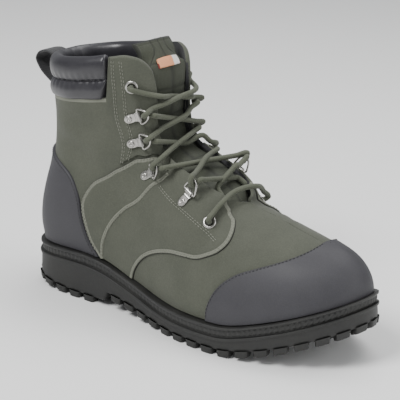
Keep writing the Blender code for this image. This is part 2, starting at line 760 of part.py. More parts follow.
def cover(name, sides, reach, outline, thickness, finish):
    """Sheet over the upper, on the upper's own grid, kept where the side view lies in the outline."""
    t = upper_stations()
    t = t[(t >= turn(reach[0]) - 1e-9) & (t <= turn(reach[1]) + 1e-9)]
    v = upper_levels()
    v[0] = COVER_FOOT
    t, v = np.meshgrid(t, v, indexing="ij")
    strips = [upper_point(side, t, v, out=np.full(t.shape, COVER_GAP)) for side in sides]
    if len(sides) == 1:
        points = strips[0]
    elif reach[0] == 0:
        points = np.concatenate([strips[0][::-1], strips[1][1:]])
    else:
        points = np.concatenate([strips[0], strips[1][::-1][1:]])
    rows, cols = points.shape[:2]
    sheet = add_sheet(name, points.reshape(-1, 3), grid_faces(rows, cols), finish, thickness, outward=True)
    across = (-BALL_WIDTH, BALL_WIDTH) if len(sides) == 2 else sorted((0.0, sides[0] * BALL_WIDTH))
    n = len(outline)
    corners = [(x, y, z) for y in across for x, z in outline]
    faces = [tuple(range(n)), tuple(range(2 * n - 1, n - 1, -1))]
    faces += [(i, (i + 1) % n, n + (i + 1) % n, n + i) for i in range(n)]
    knife = add_object(name + "_cutter", corners, faces, finish)
    knife.hide_render = True
    knife.display_type = "WIRE"
    cut = sheet.modifiers.new("outline", "BOOLEAN")
    cut.operation = "INTERSECT"
    cut.object = knife
    cut.solver = "EXACT"
    return sheet


def beyond(edge, *corners):
    """Close an edge into an outline through corners that lie clear of the boot."""
    return [tuple(p) for p in edge] + list(corners)


def build_covers(fabric, coated):
    far, high, low = SOLE_LENGTH * 1.2, FACING_HEIGHT * 1.2, 0.0
    cap = beyond(seam(CAP_EDGE), (far, seam(CAP_EDGE)[-1][1] + 0.01), (far, low), (seam(CAP_EDGE)[0][0], low))
    cover("toe_cap", (LATERAL, MEDIAL), (0.62, 1.0), cap, CAP_WALL, coated)
    counter = seam(COUNTER_EDGE)
    cover(
        "heel_counter",
        (LATERAL, MEDIAL),
        (0.0, 0.30),
        beyond(counter, (counter[-1][0], low), (-0.05, low), (-0.05, counter[0][1])),
        CAP_WALL,
        coated,
    )
    strap_rear, strap_front = seam(STRAP_REAR), seam(STRAP_FRONT)
    quarter_rear, quarter_front = seam(QUARTER_REAR), seam(QUARTER_FRONT)
    facing_rear, facing_foot = seam(FACING_REAR), seam(FACING_FOOT)
    for side, word in ((LATERAL, "outer"), (MEDIAL, "inner")):
        strap = beyond(strap_rear) + [tuple(p) for p in strap_front[::-1]]
        strap += [(strap_front[0][0], low), (strap_rear[0][0], low)]
        cover(f"strap_{word}", (side,), (0.15, 0.52), strap, OVERLAY, fabric)
        quarter = beyond(quarter_rear) + [tuple(p) for p in quarter_front[::-1]]
        quarter += [(quarter_front[0][0], low), (quarter_rear[0][0], low)]
        cover(f"quarter_{word}", (side,), (0.25, 0.70), quarter, OVERLAY, fabric)
        facing = beyond(facing_rear, (facing_rear[-1][0], high), (far, high))
        facing += [tuple(p) for p in facing_foot]
        cover(f"facing_{word}", (side,), (0.22, 0.55), facing, OVERLAY, fabric)


# Padded collar in section: height over its foot and distance from the upper's outer face
COLLAR_SECTION = columns(
    "share out",
    (0.020, -0.10 * COLLAR_PAD),
    (0.090, 0.45 * COLLAR_PAD),
    (0.260, 0.75 * COLLAR_PAD),
    (0.430, 0.35 * COLLAR_PAD),
    (0.480, -0.05 * COLLAR_PAD),
    (0.530, 0.35 * COLLAR_PAD),
    (0.720, 0.90 * COLLAR_PAD),
    (0.920, 0.70 * COLLAR_PAD),
    (1.030, -0.05 * COLLAR_PAD),
    (1.050, -1.00 * COLLAR_PAD),
    (0.930, -2.00 * COLLAR_PAD),
    (0.600, -2.20 * COLLAR_PAD),
    (0.200, -2.00 * COLLAR_PAD),
    (0.020, -1.00 * COLLAR_PAD),
)


def build_collar(finish):
    """Two padded rolls round the back and sides, closed by flat ends at the facings."""
    end = turn(COLLAR_FRONT) - 0.0045
    t = np.linspace(0, end, 10)
    v = COLLAR_FOOT + (1 - COLLAR_FOOT) * COLLAR_SECTION["share"]
    out = COLLAR_SECTION["out"]
    strips = [
        upper_point(side, t[:, None] + 0 * v, v + 0 * t[:, None], out=out + 0 * t[:, None])
        for side in (LATERAL, MEDIAL)
    ]
    rings = np.concatenate([strips[0][::-1], strips[1][1:]])
    rows, cols = rings.shape[:2]
    faces = grid_faces(rows, cols, closed=True)
    faces.append(tuple(range(cols)))
    faces.append(tuple((rows - 1) * cols + c for c in range(cols)))
    return add_object("collar", rings.reshape(-1, 3), faces, finish)


def face_samples(side):
    """Fine grid of the upper's outer face with its normals, for finding the nearest place."""
    t, v = np.meshgrid(np.linspace(0.15, 0.9, 260), np.linspace(0.4, 1, 60), indexing="ij")
    return upper_point(side, t, v).reshape(-1, 3), upper_normal(side, t, v).reshape(-1, 3)


def walk_under(samples, start, ahead, inward, depth):
    """Walk back from the throat's edge over the facing, and give three places below it."""
    faces, normals = samples
    place, stops = start, []
    steps = 8
    for k in range(steps + 1):
        near = np.argmin(np.sum((faces - place) ** 2, axis=1))
        normal = normals[near]
        place = place - ((place - faces[near]) @ normal) * normal
        if k % (steps // 2) == 0:
            stops.append(place - depth * normal)
        away = np.cross(normal, ahead)
        inward = away * np.sign(away @ inward) / np.linalg.norm(away)
        place = place + inward * TONGUE_LAP / steps
    return stops


def tongue_face(crown):
    """Grid of the tongue's outer face: rows from its free top to its root under the vamp."""
    spread = np.array([-1.0, -0.6, -0.25, 0.0, 0.25, 0.6, 1.0])
    rows = []
    for height, front, half in zip(TONGUE_TOP["height"], TONGUE_TOP["front"], TONGUE_TOP["half"]):
        bow = TONGUE_BOW * spread**2
        rows.append(np.column_stack([front - bow, half * spread, height - 0.4 * bow]))
    samples = {side: face_samples(side) for side in (LATERAL, MEDIAL)}
    for t, clear in zip(turn(TONGUE_ROWS["along"]), TONGUE_ROWS["clear"]):
        depth = WALL + clear
        edges = {side: upper_point(side, t, 1.0) for side in (LATERAL, MEDIAL)}
        under = {}
        for side in (LATERAL, MEDIAL):
            ahead = upper_point(side, t + 2e-3, 1.0) - upper_point(side, t - 2e-3, 1.0)
            inward = upper_point(side, t, 0.95) - edges[side]
            under[side] = walk_under(samples[side], edges[side], ahead, inward, depth)
        front = upper_normal(LATERAL, t, 1.0) + upper_normal(MEDIAL, t, 1.0)
        front = front / np.linalg.norm(front)
        between = np.linalg.norm(edges[LATERAL] - edges[MEDIAL]) / THROAT_GAP
        middle = (under[LATERAL][0] + under[MEDIAL][0]) / 2 + crown * min(between, 1.0) * front
        rows.append(np.array(under[LATERAL][::-1] + [middle] + under[MEDIAL]))
    for front, half, height in zip(TONGUE_ROOT["front"], TONGUE_ROOT["half"], TONGUE_ROOT["height"]):
        row = (front + 0 * spread, RIDGE_SHIFT + half * spread, height - TONGUE_DROOP * spread**2)
        rows.append(np.column_stack(row))
    return np.array(rows)


def build_tongue(face, finish):
    rows, cols = face.shape[:2]
    return add_sheet("tongue", face.reshape(-1, 3), grid_faces(rows, cols), finish, TONGUE_PAD, outward=False)


def finer(face, count):
    """Tongue's outer face read between its rows and columns, with its normals."""
    rows, cols = face.shape[:2]
    r = np.linspace(0, rows - 1, count)
    c = np.linspace(0, cols - 1, count)
    r0 = np.minimum(r.astype(int), rows - 2)
    c0 = np.minimum(c.astype(int), cols - 2)
    fr, fc = (r - r0)[:, None, None], (c - c0)[None, :, None]
    corner = [[face[r0 + a][:, c0 + b] for b in (0, 1)] for a in (0, 1)]
    points = (corner[0][0] * (1 - fc) + corner[0][1] * fc) * (1 - fr)
    points = points + (corner[1][0] * (1 - fc) + corner[1][1] * fc) * fr
    normals = np.cross(np.gradient(points, axis=1), np.gradient(points, axis=0))
    normals = normals * np.sign(normals @ np.array([1.0, 0.0, 0.4]))[..., None]
    normals = normals / np.linalg.norm(normals, axis=-1, keepdims=True)
    return points.reshape(-1, 3), normals.reshape(-1, 3)


def lie_over(samples, point, height):
    """Move a point along the nearest normal until it stands the height over a sampled face."""
    faces, normals = samples
    near = np.argmin(np.sum((faces - point) ** 2, axis=1))
    return point + (height - (point - faces[near]) @ normals[near]) * normals[near]


def build_tab(samples, finish):
    """Blank tab sewn across the tongue, bent to its face."""
    across = np.linspace(-0.5, 0.5, 5) * TAB_WIDTH
    rows = []
    for height in (0.5, -0.5):
        z = TAB_PLACE * FACING_HEIGHT + height * TAB_HEIGHT
        rows.append([lie_over(samples, np.array([SHAFT_FRONT, y, z]), STANDING_GAP) for y in across])
    points = np.array(rows)
    faces = grid_faces(*points.shape[:2])
    return add_sheet("tongue_tab", points.reshape(-1, 3), faces, finish, TAB_THICKNESS, outward=True)


def add_solid(name, sections, finish, smooth_angle=40):
    """Closed solid from sections of equally many corners, with its first and last as end faces."""
    sections = np.asarray(sections)
    rows, cols = sections.shape[:2]
    faces = grid_faces(rows, cols, closed=True)
    faces.append(tuple(range(cols)))
    faces.append(tuple((rows - 1) * cols + c for c in range(cols)))
    return add_object(name, sections.reshape(-1, 3), faces, finish, smooth_angle)


def build_pull_loop(finish):
    """Webbing loop behind the collar, from its top roll down to its foot."""
    ends = []
    for row in (7, 1):
        v = COLLAR_FOOT + (1 - COLLAR_FOOT) * COLLAR_SECTION["share"][row]
        ends.append(upper_point(LATERAL, 0.0, v, out=np.float64(COLLAR_SECTION["out"][row] + 2 * GAP)))
    start, end = (np.array([p[0], p[2]]) for p in ends)
    line = start + LOOP["down"][:, None] * (end - start)
    line[:, 0] -= LOOP["reach"] * LOOP_REACH
    ahead = np.gradient(line, axis=0)
    ahead /= np.linalg.norm(ahead, axis=1, keepdims=True)
    outer = line - LOOP_THICKNESS * np.column_stack([-ahead[:, 1], ahead[:, 0]])
    sections = []
    for a, b in zip(outer, line):
        half = LOOP_WIDTH / 2
        sections.append([(x, y, z) for (x, z), y in ((a, -half), (a, half), (b, half), (b, -half))])
    return add_solid("pull_loop", sections, finish)


def seat(side, along, v, aim, out):
    """Frame of a fitting on the upper: its place, the way it points, across, and outward."""
    t = turn(along)
    normal = upper_normal(side, t, v)
    place = upper_point(side, t, v) + out * normal
    way = np.array([math.cos(math.radians(aim)), 0.0, math.sin(math.radians(aim))])
    way = way - (way @ normal) * normal
    way = way / np.linalg.norm(way)
    return place, way, np.cross(normal, way), normal


@functools.lru_cache(maxsize=None)
def clip_seat(side, k):
    """Frame of the clip k of one side, raised over the highest place of the panel under it."""
    place, way, across, normal = seat(side, CLIPS["along"][k], CLIPS["share"][k], CLIPS["aim"][k], 0.0)
    away = face_samples(side)[0] - place
    ahead, beside_it, height = away @ way, away @ across, away @ normal
    under = (ahead > -CLIP_TAIL) & (ahead < CLIP_LENGTH) & (np.abs(beside_it) < CLIP_WIDTH / 2)
    under &= np.abs(height) < CLIP_WIDTH
    out = COVER_GAP + OVERLAY + CLIP_LIFT + np.max(height[under])
    return place + out * normal, way, across, normal


def build_clip(side, k, finish):
    """Folded plate: flat on the facing, then wrapped round the ring's bar."""
    place, way, across, normal = clip_seat(side, k)
    hold = RING_WIRE / 2 + GAP
    bar = CLIP_THICKNESS + hold
    fold = np.radians(FOLD)
    outer, inner = (
        [(CLIP_LENGTH + r * math.cos(a), bar + r * math.sin(a)) for a in fold]
        for r in (hold + CLIP_THICKNESS, hold)
    )
    profile = [(-CLIP_TAIL, 0.0)] + outer + inner[::-1] + [(-CLIP_TAIL, CLIP_THICKNESS)]
    sections = []
    for half in (-CLIP_WIDTH / 2, CLIP_WIDTH / 2):
        sections.append([place + a * way + half * across + h * normal for a, h in profile])
    word = "outer" if side == LATERAL else "inner"
    return add_solid(f"clip_{k + 1}_{word}", sections, finish)


def ring_frame(side, k):
    """Middle of the ring's bar, the way the ring lies, across, and outward from its plane."""
    place, way, across, normal = clip_seat(side, k)
    bar = place + CLIP_LENGTH * way + (CLIP_THICKNESS + RING_WIRE / 2 + GAP) * normal
    lie = math.cos(RING_TILT) * way + math.sin(RING_TILT) * normal
    return bar, lie, across, np.cross(lie, across)


def build_ring(side, k, finish):
    """D-shaped wire ring lying in its clip."""
    bar, lie, across, up = ring_frame(side, k)
    path = bar + RING_SHAPE["across"][:, None] * across + RING_SHAPE["reach"][:, None] * lie
    middle = bar + 0.45 * RING_REACH * lie
    points = []
    for p in path:
        outward = (p - middle) / np.linalg.norm(p - middle)
        for a, b in ((1, 0), (0, 1), (-1, 0), (0, -1)):
            points.append(p + RING_WIRE / 2 * (a * outward + b * up))
    count = len(path)
    faces = [
        (4 * i + c, 4 * i + (c + 1) % 4, 4 * ((i + 1) % count) + (c + 1) % 4, 4 * ((i + 1) % count) + c)
        for i in range(count)
        for c in range(4)
    ]
    word = "outer" if side == LATERAL else "inner"
    return add_object(f"ring_{k + 1}_{word}", points, faces, finish)


def build_eyelet(name, side, along, v, out, finish):
    """Flanged eyelet: a washer with a rounded rim, lying on the upper."""
    place, way, across, normal = seat(side, along, v, 0.0, out)
    angle = np.linspace(0, 2 * np.pi, EYELET_SIDES, endpoint=False)
    profile = (
        (EYELET_HOLE, 0.0),
        (EYELET_RADIUS, 0.0),
        (0.8 * EYELET_RADIUS, EYELET_HEIGHT),
        (EYELET_HOLE, 0.8 * EYELET_HEIGHT),
    )
    points = []
    for r, h in profile:
        points += [place + r * (math.cos(a) * way + math.sin(a) * across) + h * normal for a in angle]
    count = EYELET_SIDES
    faces = grid_faces(len(profile), count, closed=True)
    last = (len(profile) - 1) * count
    faces += [(last + c, last + (c + 1) % count, (c + 1) % count, c) for c in range(count)]
    return add_object(name, points, faces, finish)


def tube(name, path, radius, sides, finish):
    """Closed round tube along a path."""
    path = np.asarray(path)
    ahead = np.gradient(path, axis=0)
    ahead /= np.linalg.norm(ahead, axis=1, keepdims=True)
    sections = []
    across = np.cross(ahead[0], (0.3, 0.2, 1.0))
    for p, way in zip(path, ahead):
        across = across - (across @ way) * way
        across = across / np.linalg.norm(across)
        over = np.cross(way, across)
        angle = 2 * np.pi * np.arange(sides) / sides
        sections.append([p + radius * (math.cos(a) * across + math.sin(a) * over) for a in angle])
    return add_solid(name, sections, finish, smooth_angle=80)


def clear_of(samples, point, distance):
    """Move a point out until it stands the distance over a sampled face."""
    faces, normals = samples
    near = np.argmin(np.sum((faces - point) ** 2, axis=1))
    height = (point - faces[near]) @ normals[near]
    if height > 0 and np.linalg.norm(point - faces[near]) > distance:
        return point
    return point + max(distance - height, 0.0) * normals[near]


# Shares of a run of lace between two rings where it is shaped to what it lies on
LACE_SHARES = (0.08, 0.17, 0.30, 0.70, 0.83, 0.92)
LAST_SHARES = (0.08, 0.16, 0.24, 0.33, 0.47, 0.55, 0.62, 0.69, 0.77, 0.88)


def draped(start, end, shares, tongue, uppers, play=LACE_PLAY):
    """Places of a run of lace from start to end, lifted clear of the tongue and the facings."""
    run = []
    for share in shares:
        p = start + share * (end - start)
        for _ in range(3):
            p = clear_of(tongue, p, LACE / 2 + play)
            for faces, normals in uppers.values():
                if np.min(np.linalg.norm(faces - p, axis=1)) < 2.5 * LACE:
                    p = clear_of((faces, normals), p, LACE / 2 + COVER_GAP + OVERLAY + play)
        run.append(p)
    return run


def eyelet_ends(side, place):
    """Last two places of a lace that goes into an eyelet: over it, and inside its hole."""
    seated = seat(side, *place, 0.0, COVER_GAP + OVERLAY + GAP)
    return seated[0] + 1.3 * LACE * seated[3], seated[0] + GAP * seated[3]


def lace_half(first, tongue, uppers):
    """Path of one half of the lace: from under one facing through the rings to a top eyelet."""
    side = first
    start = np.array([0.885 * THROAT_END, RIDGE_SHIFT + 0.28 * first * THROAT_GAP, 1.12 * INSTEP_HEIGHT])
    path = draped(start, start, (0.0,), tongue, uppers)
    for k in (3, 2, 1, 0):
        side = -side
        bar, lie, across, up = ring_frame(side, k)
        bend = bar + (RING_REACH + (LACE + RING_WIRE) / 2 + 2 * GAP) * lie
        rise = 0.65 * LACE * across * np.sign(across[2])
        stops = [bend - rise, bend + rise]
        path += draped(path[-1], stops[0], LACE_SHARES, tongue, uppers) + stops
    over, inside = eyelet_ends(-side, TOP_EYELET)
    path += draped(path[-1], over, LAST_SHARES, tongue, uppers, 1.7 * LACE_PLAY)
    return np.array(path + [over, inside])


def build_lace(tongue, finish):
    """Criss-cross of the lace as one solid, and the slack bar between the lowest eyelets."""
    uppers = {side: face_samples(side) for side in (LATERAL, MEDIAL)}
    first = tube("lace", lace_half(LATERAL, tongue, uppers), LACE / 2, LACE_SIDES, finish)
    second = tube("lace_cutter", lace_half(MEDIAL, tongue, uppers), LACE / 2, LACE_SIDES, finish)
    second.hide_render = True
    second.display_type = "WIRE"
    join = first.modifiers.new("crossings", "BOOLEAN")
    join.operation = "UNION"
    join.object = second
    over, inside = eyelet_ends(LATERAL, LOW_EYELET)
    far_over, far_inside = eyelet_ends(MEDIAL, LOW_EYELET)
    share = np.linspace(0, 1, 9)[1:-1]
    arch = over + share[:, None] * (far_over - over)
    arch[:, 2] += BAR_SLACK * np.sin(np.pi * share) ** 0.8
    arch = [draped(p, p, (0.0,), tongue, uppers)[0] for p in arch]
    tube("lace_bar", [inside, over] + arch + [far_over, far_inside], LACE / 2, LACE_SIDES, finish)


def build_fittings(metal):
    on_cover = COVER_GAP + OVERLAY + GAP
    for side, word in ((LATERAL, "outer"), (MEDIAL, "inner")):
        for k in range(len(CLIPS["along"])):
            build_clip(side, k, metal)
            build_ring(side, k, metal)
        build_eyelet(f"eyelet_top_{word}", side, *TOP_EYELET, on_cover, metal)
        build_eyelet(f"eyelet_low_{word}", side, *LOW_EYELET, on_cover, metal)
    for name, k in (("drain_rear", 0), ("drain_front", 1)):
        out = on_cover if DRAINS["under"][k] else 2 * GAP
        build_eyelet(name, MEDIAL, DRAINS["along"][k], DRAINS["share"][k], out, metal)


def centre_over_origin():
    """Move every mesh so that the middle of the finished boot's box stands over the origin."""
    view = bpy.context.evaluated_depsgraph_get()
    low, high = np.full(3, np.inf), np.full(3, -np.inf)
    for item in bpy.data.objects:
        if item.hide_render:
            continue
        shown = item.evaluated_get(view).to_mesh()
        spots = np.empty(3 * len(shown.vertices))
        shown.vertices.foreach_get("co", spots)
        low = np.minimum(low, spots.reshape(-1, 3).min(axis=0))
        high = np.maximum(high, spots.reshape(-1, 3).max(axis=0))
    middle = (low + high) / 2
    for item in bpy.data.objects:
        item.data.transform(Matrix.Translation((-middle[0], -middle[1], -low[2])))


def main():
    clear_scene()
    rubber = material("black rubber", (0.035, 0.036, 0.036), 0.75)
    welt_rubber = material("welt rubber", (0.05, 0.05, 0.05), 0.7)
    fabric = material("olive grey upper", (0.135, 0.140, 0.105), 0.85)
    coated = material("dark coated leather", (0.06, 0.06, 0.068), 0.55)
    padded = material("padded collar", (0.045, 0.043, 0.050), 0.35)
    nylon = material("olive tongue", (0.075, 0.085, 0.055), 0.8)
    lining = material("dark lining", (0.03, 0.03, 0.032), 0.9)
    tab = material("blank tab", (0.75, 0.35, 0.12), 0.8)
    webbing = material("black webbing", (0.02, 0.02, 0.021), 0.8)
    metal = material("nickel plate", (0.70, 0.70, 0.68), 0.3, 1.0)
    cord = material("grey green cord", (0.17, 0.18, 0.14), 0.85)
    build_outsole(rubber)
    build_welt(welt_rubber)
    build_insole(lining)
    build_upper(fabric)
    build_covers(fabric, coated)
    build_collar(padded)
    face = tongue_face(TONGUE_CROWN)
    build_tongue(face, nylon)
    over_tongue = finer(face, 70)
    build_tab(over_tongue, tab)
    build_pull_loop(webbing)
    build_fittings(metal)
    build_lace(over_tongue, cord)
    centre_over_origin()


main()
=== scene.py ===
# %% [markdown]
# A wading boot, dressed from its CAD solids.
#
# The solids already have the true shape of the last: a hollow upper on a lugged rubber sole.
# This lesson gives them their looks. Each step takes one piece of the real boot, says what it
# is and how it is made, builds it as a surface from a short formula, and prints what it made.
# All pieces are in metres: X points to the toe, Y to the inner side of the foot and Z up.

import functools
import math

import bmesh
import bpy
import numpy as np
from mathutils import Matrix, Vector


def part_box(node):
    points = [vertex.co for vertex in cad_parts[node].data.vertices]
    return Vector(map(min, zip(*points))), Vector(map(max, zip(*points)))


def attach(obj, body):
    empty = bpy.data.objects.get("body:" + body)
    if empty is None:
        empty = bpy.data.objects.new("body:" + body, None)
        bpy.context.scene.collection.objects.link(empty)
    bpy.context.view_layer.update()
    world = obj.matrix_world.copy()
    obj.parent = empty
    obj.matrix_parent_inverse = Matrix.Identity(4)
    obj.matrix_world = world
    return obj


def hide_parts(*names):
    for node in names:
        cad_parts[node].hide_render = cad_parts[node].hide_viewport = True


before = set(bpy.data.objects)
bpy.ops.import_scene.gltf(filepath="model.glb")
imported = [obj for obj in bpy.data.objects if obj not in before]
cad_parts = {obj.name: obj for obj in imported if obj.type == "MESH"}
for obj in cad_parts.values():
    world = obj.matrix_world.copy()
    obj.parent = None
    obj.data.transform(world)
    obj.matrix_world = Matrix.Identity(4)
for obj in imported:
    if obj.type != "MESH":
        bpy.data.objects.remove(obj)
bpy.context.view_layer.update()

# %% [markdown]
# The sizes of the last, as a shoemaker would note them.
#
# They are the same as those of the solids, so every surface of this lesson lies where its solid
# lies. HEEL is where the back of the heel stands in the model's own frame.

# %% Sizes of the last, the upper and the lacing
HEEL = np.array((-0.148645, 0.003344, 0.000132))
SOLE_LENGTH = 0.310
HEEL_WIDTH = 0.083
WAIST_WIDTH = 0.0795
BALL_WIDTH = 0.1145
SWING = 0.005  # how far the sole's middle line bends towards the outer and inner side
HEEL_THICKNESS = 0.028
BALL_THICKNESS = 0.0135
TOE_THICKNESS = 0.017
TOE_SPRING = 0.028
SPRING_START = 0.6935 * SOLE_LENGTH
BREAST = 0.2871 * SOLE_LENGTH  # front of the heel block
BREAST_SLOPE = 0.004
ARCH_LIFT = 0.0075
HEEL_ROLL = 0.0060  # rise of the heel's underside at its back edge
HEEL_ROLL_START = 0.1935 * SOLE_LENGTH
LUG_DEPTH = 0.0045
LUG_PITCH = 0.0262
LUG_REACH = 0.0088
LUG_ROOT = 0.0008  # how far a lug reaches up into the sole
LUG_MARGIN = 0.0183  # nearest that a star lug's middle comes to the sole's edge
LUG_START = (0.004, 0.001)  # place of the star lattice along and across
EDGE_PITCH = 0.0150
EDGE_DEPTH = 0.0080
EDGE_SHARE = 0.72  # share of the pitch that an edge lug fills
EDGE_PROUD = 0.0006
LIP_HEIGHT = 0.0026
LIP_STEP = 0.0009
WELT_HEIGHT = 0.0080
WELT_GROOVE = 0.0022
WELT_ROUND = 0.0010
GAP = 0.0003
COVER_GAP = 2 * GAP
STANDING_GAP = 3 * GAP  # where facets of two curved pieces don't follow each other
COVER_FOOT = 0.015  # share of the upper's height where the covers start, clear of the welt
FEATHER_INSET = 0.0060  # from the sole's edge in to the upper's foot
WALL = 0.0025
COLLAR_HEIGHT = 0.187
FACING_HEIGHT = 0.2005
SHAFT_BACK = 0.04516 * SOLE_LENGTH
SHAFT_FRONT = 0.3984 * SOLE_LENGTH
SHAFT_WIDTH = 0.079
THROAT_GAP = 0.037
THROAT_END = 0.6387 * SOLE_LENGTH
INSTEP_HEIGHT = 0.098
TOE_HEIGHT = 0.0807
TOE_ROUND = 0.8726 * SOLE_LENGTH  # where the toe box's top begins to fall to the tip
RIDGE_SHIFT = 0.003
MEDIAL_LIFT = 0.0045
HEEL_BULGE = 0.0034
ANKLE_NARROWING = 0.0058
COLLAR_FOOT = 0.79  # share of the shaft's height where the padded collar starts
COLLAR_PAD = 0.0040
OVERLAY = 0.0011  # thickness of the panels sewn onto the upper
CAP_WALL = 0.0014  # thickness of the coated toe cap and heel counter
TONGUE_PAD = 0.0050
TONGUE_LAP = 0.0140  # how far the tongue reaches under each facing
TONGUE_CROWN = 0.0030
TONGUE_BOW = 0.0050  # how far the tongue's free end curves back at its sides
TONGUE_DROOP = 0.0028  # fall of the root from its middle to its sides
TAB_WIDTH = 0.0240
TAB_HEIGHT = 0.0100
TAB_PLACE = 0.977  # of the facing's height, where the tab's middle lies on the tongue
TAB_THICKNESS = 0.0008
LACE = 0.0040
LACE_PLAY = 0.0016  # clearance of the lace over what it lies on
EYELET_RADIUS = 0.0052
EYELET_HOLE = 0.0027
CLIP_WIDTH = 0.0066
CLIP_TAIL = 0.0038  # from the rivet back to the clip's end
CLIP_LENGTH = 0.0090  # from the rivet to the ring's bar
CLIP_THICKNESS = 0.0009
CLIP_LIFT = 0.0004  # clearance of the flat clip over the highest place of the panel under it
RING_WIRE = 0.0016
RING_WIDTH = 0.0100
RING_REACH = 0.0105
RING_TILT = math.radians(26)
BAR_SLACK = 0.0125  # how high the lowest bar of the lace arches over the vamp
LOOP_WIDTH = 0.0180
LOOP_THICKNESS = 0.0018
LOOP_REACH = 0.0225
TOP_EYELET = (0.3007, 0.8524)
LOW_EYELET = (0.5732, 0.6556)
LATERAL = -1
MEDIAL = 1
SIDES = ((LATERAL, "outer"), (MEDIAL, "inner"))

# %% Reading a table of sizes
def columns(names, *rows):
    """Turn the rows of a table into named columns."""
    return dict(zip(names.split(), np.array(rows, dtype=float).T))


def seam(*rows):
    """Table of a seam: places along the boot and shares of the upper's height."""
    return columns("along share", *rows)


def turn(along):
    """Give 0 at the heel's back and 1 at the toe, spaced so that round ends come out round."""
    return np.arccos(1 - 2 * np.clip(along, 0, 1)) / np.pi


def curve(xs, ys, x):
    """Read a cubic through the rows of a table, with slopes taken from the neighbouring rows."""
    slope = np.gradient(ys, xs)
    k = np.clip(np.searchsorted(xs, x) - 1, 0, len(xs) - 2)
    step = xs[k + 1] - xs[k]
    u = np.clip((x - xs[k]) / step, 0, 1)
    rest = 1 - u
    return (
        ys[k] * (1 + 2 * u) * rest**2
        + slope[k] * step * u * rest**2
        + ys[k + 1] * (3 - 2 * u) * u**2
        - slope[k + 1] * step * rest * u**2
    )


def eased(share):
    """Smooth step from 0 to 1, level at both ends: 3 s^2 - 2 s^3."""
    return share * share * (3 - 2 * share)


def unit(vectors):
    """Vectors divided by their lengths."""
    return vectors / np.linalg.norm(vectors, axis=-1, keepdims=True)


def run_along(points):
    """Length of a line from its start up to each of its points."""
    return np.concatenate([[0], np.cumsum(np.linalg.norm(np.diff(points, axis=0), axis=1))])


def read_line(run, points, at):
    """Places on a line of points, read at lengths along it."""
    return np.stack([np.interp(at, run, row) for row in points.T], -1)


def part_way(t, first, last):
    """Share of the way from one place along the boot to another, held between 0 and 1."""
    return np.clip((t - turn(first)) / (turn(last) - turn(first)), 0, 1)


def nearest(faces, point):
    """Number of the sampled place that lies nearest to a point."""
    return np.argmin(np.sum((faces - point) ** 2, axis=1))


def twice(values):
    """Values of a grid for its front and again for its back."""
    return np.concatenate([values.ravel()] * 2)


def ring_angles(count):
    """Even angles once round."""
    return 2 * np.pi * np.arange(count) / count


# %% Tables of the last, the seams and the fittings
# Half width of the sole and bend of its middle line at places along its length
OUTLINE = columns(
    "along half middle",
    (0.000, 0, 0),
    (0.022, 0.313 * HEEL_WIDTH, 0),
    (0.054, 0.428 * HEEL_WIDTH, 0),
    (0.100, 0.488 * HEEL_WIDTH, 0),
    (0.160, 0.500 * HEEL_WIDTH, -0.10 * SWING),
    (0.240, 0.488 * HEEL_WIDTH, -0.30 * SWING),
    (0.320, 0.500 * WAIST_WIDTH, -0.65 * SWING),
    (0.400, 0.522 * WAIST_WIDTH, -0.90 * SWING),
    (0.480, 0.404 * BALL_WIDTH, -1.05 * SWING),
    (0.560, 0.454 * BALL_WIDTH, -SWING),
    (0.640, 0.490 * BALL_WIDTH, -0.80 * SWING),
    (0.720, 0.494 * BALL_WIDTH, -0.60 * SWING),
    (0.800, 0.458 * BALL_WIDTH, -0.45 * SWING),
    (0.865, 0.398 * BALL_WIDTH, -0.40 * SWING),
    (0.923, 0.312 * BALL_WIDTH, -0.25 * SWING),
    (0.965, 0.220 * BALL_WIDTH, -0.10 * SWING),
    (0.990, 0.122 * BALL_WIDTH, 0),
    (1.000, 0, 0),
)
# Thickness of the outsole along its length, lugs included
PROFILE = columns(
    "along thick",
    (0.00, HEEL_THICKNESS),
    (0.28, 0.98 * HEEL_THICKNESS),
    (0.39, 0.71 * HEEL_THICKNESS),
    (0.49, 1.07 * BALL_THICKNESS),
    (0.65, BALL_THICKNESS),
    (0.80, 0.94 * TOE_THICKNESS),
    (1.00, TOE_THICKNESS),
)
# Rise of the arch's underside in front of the heel block
ARCH = columns("along lift", (0.30, 1.0), (0.37, 0.72), (0.44, 0.35), (0.53, 0), (0.60, 0))
ARCH["lift"] *= ARCH_LIFT
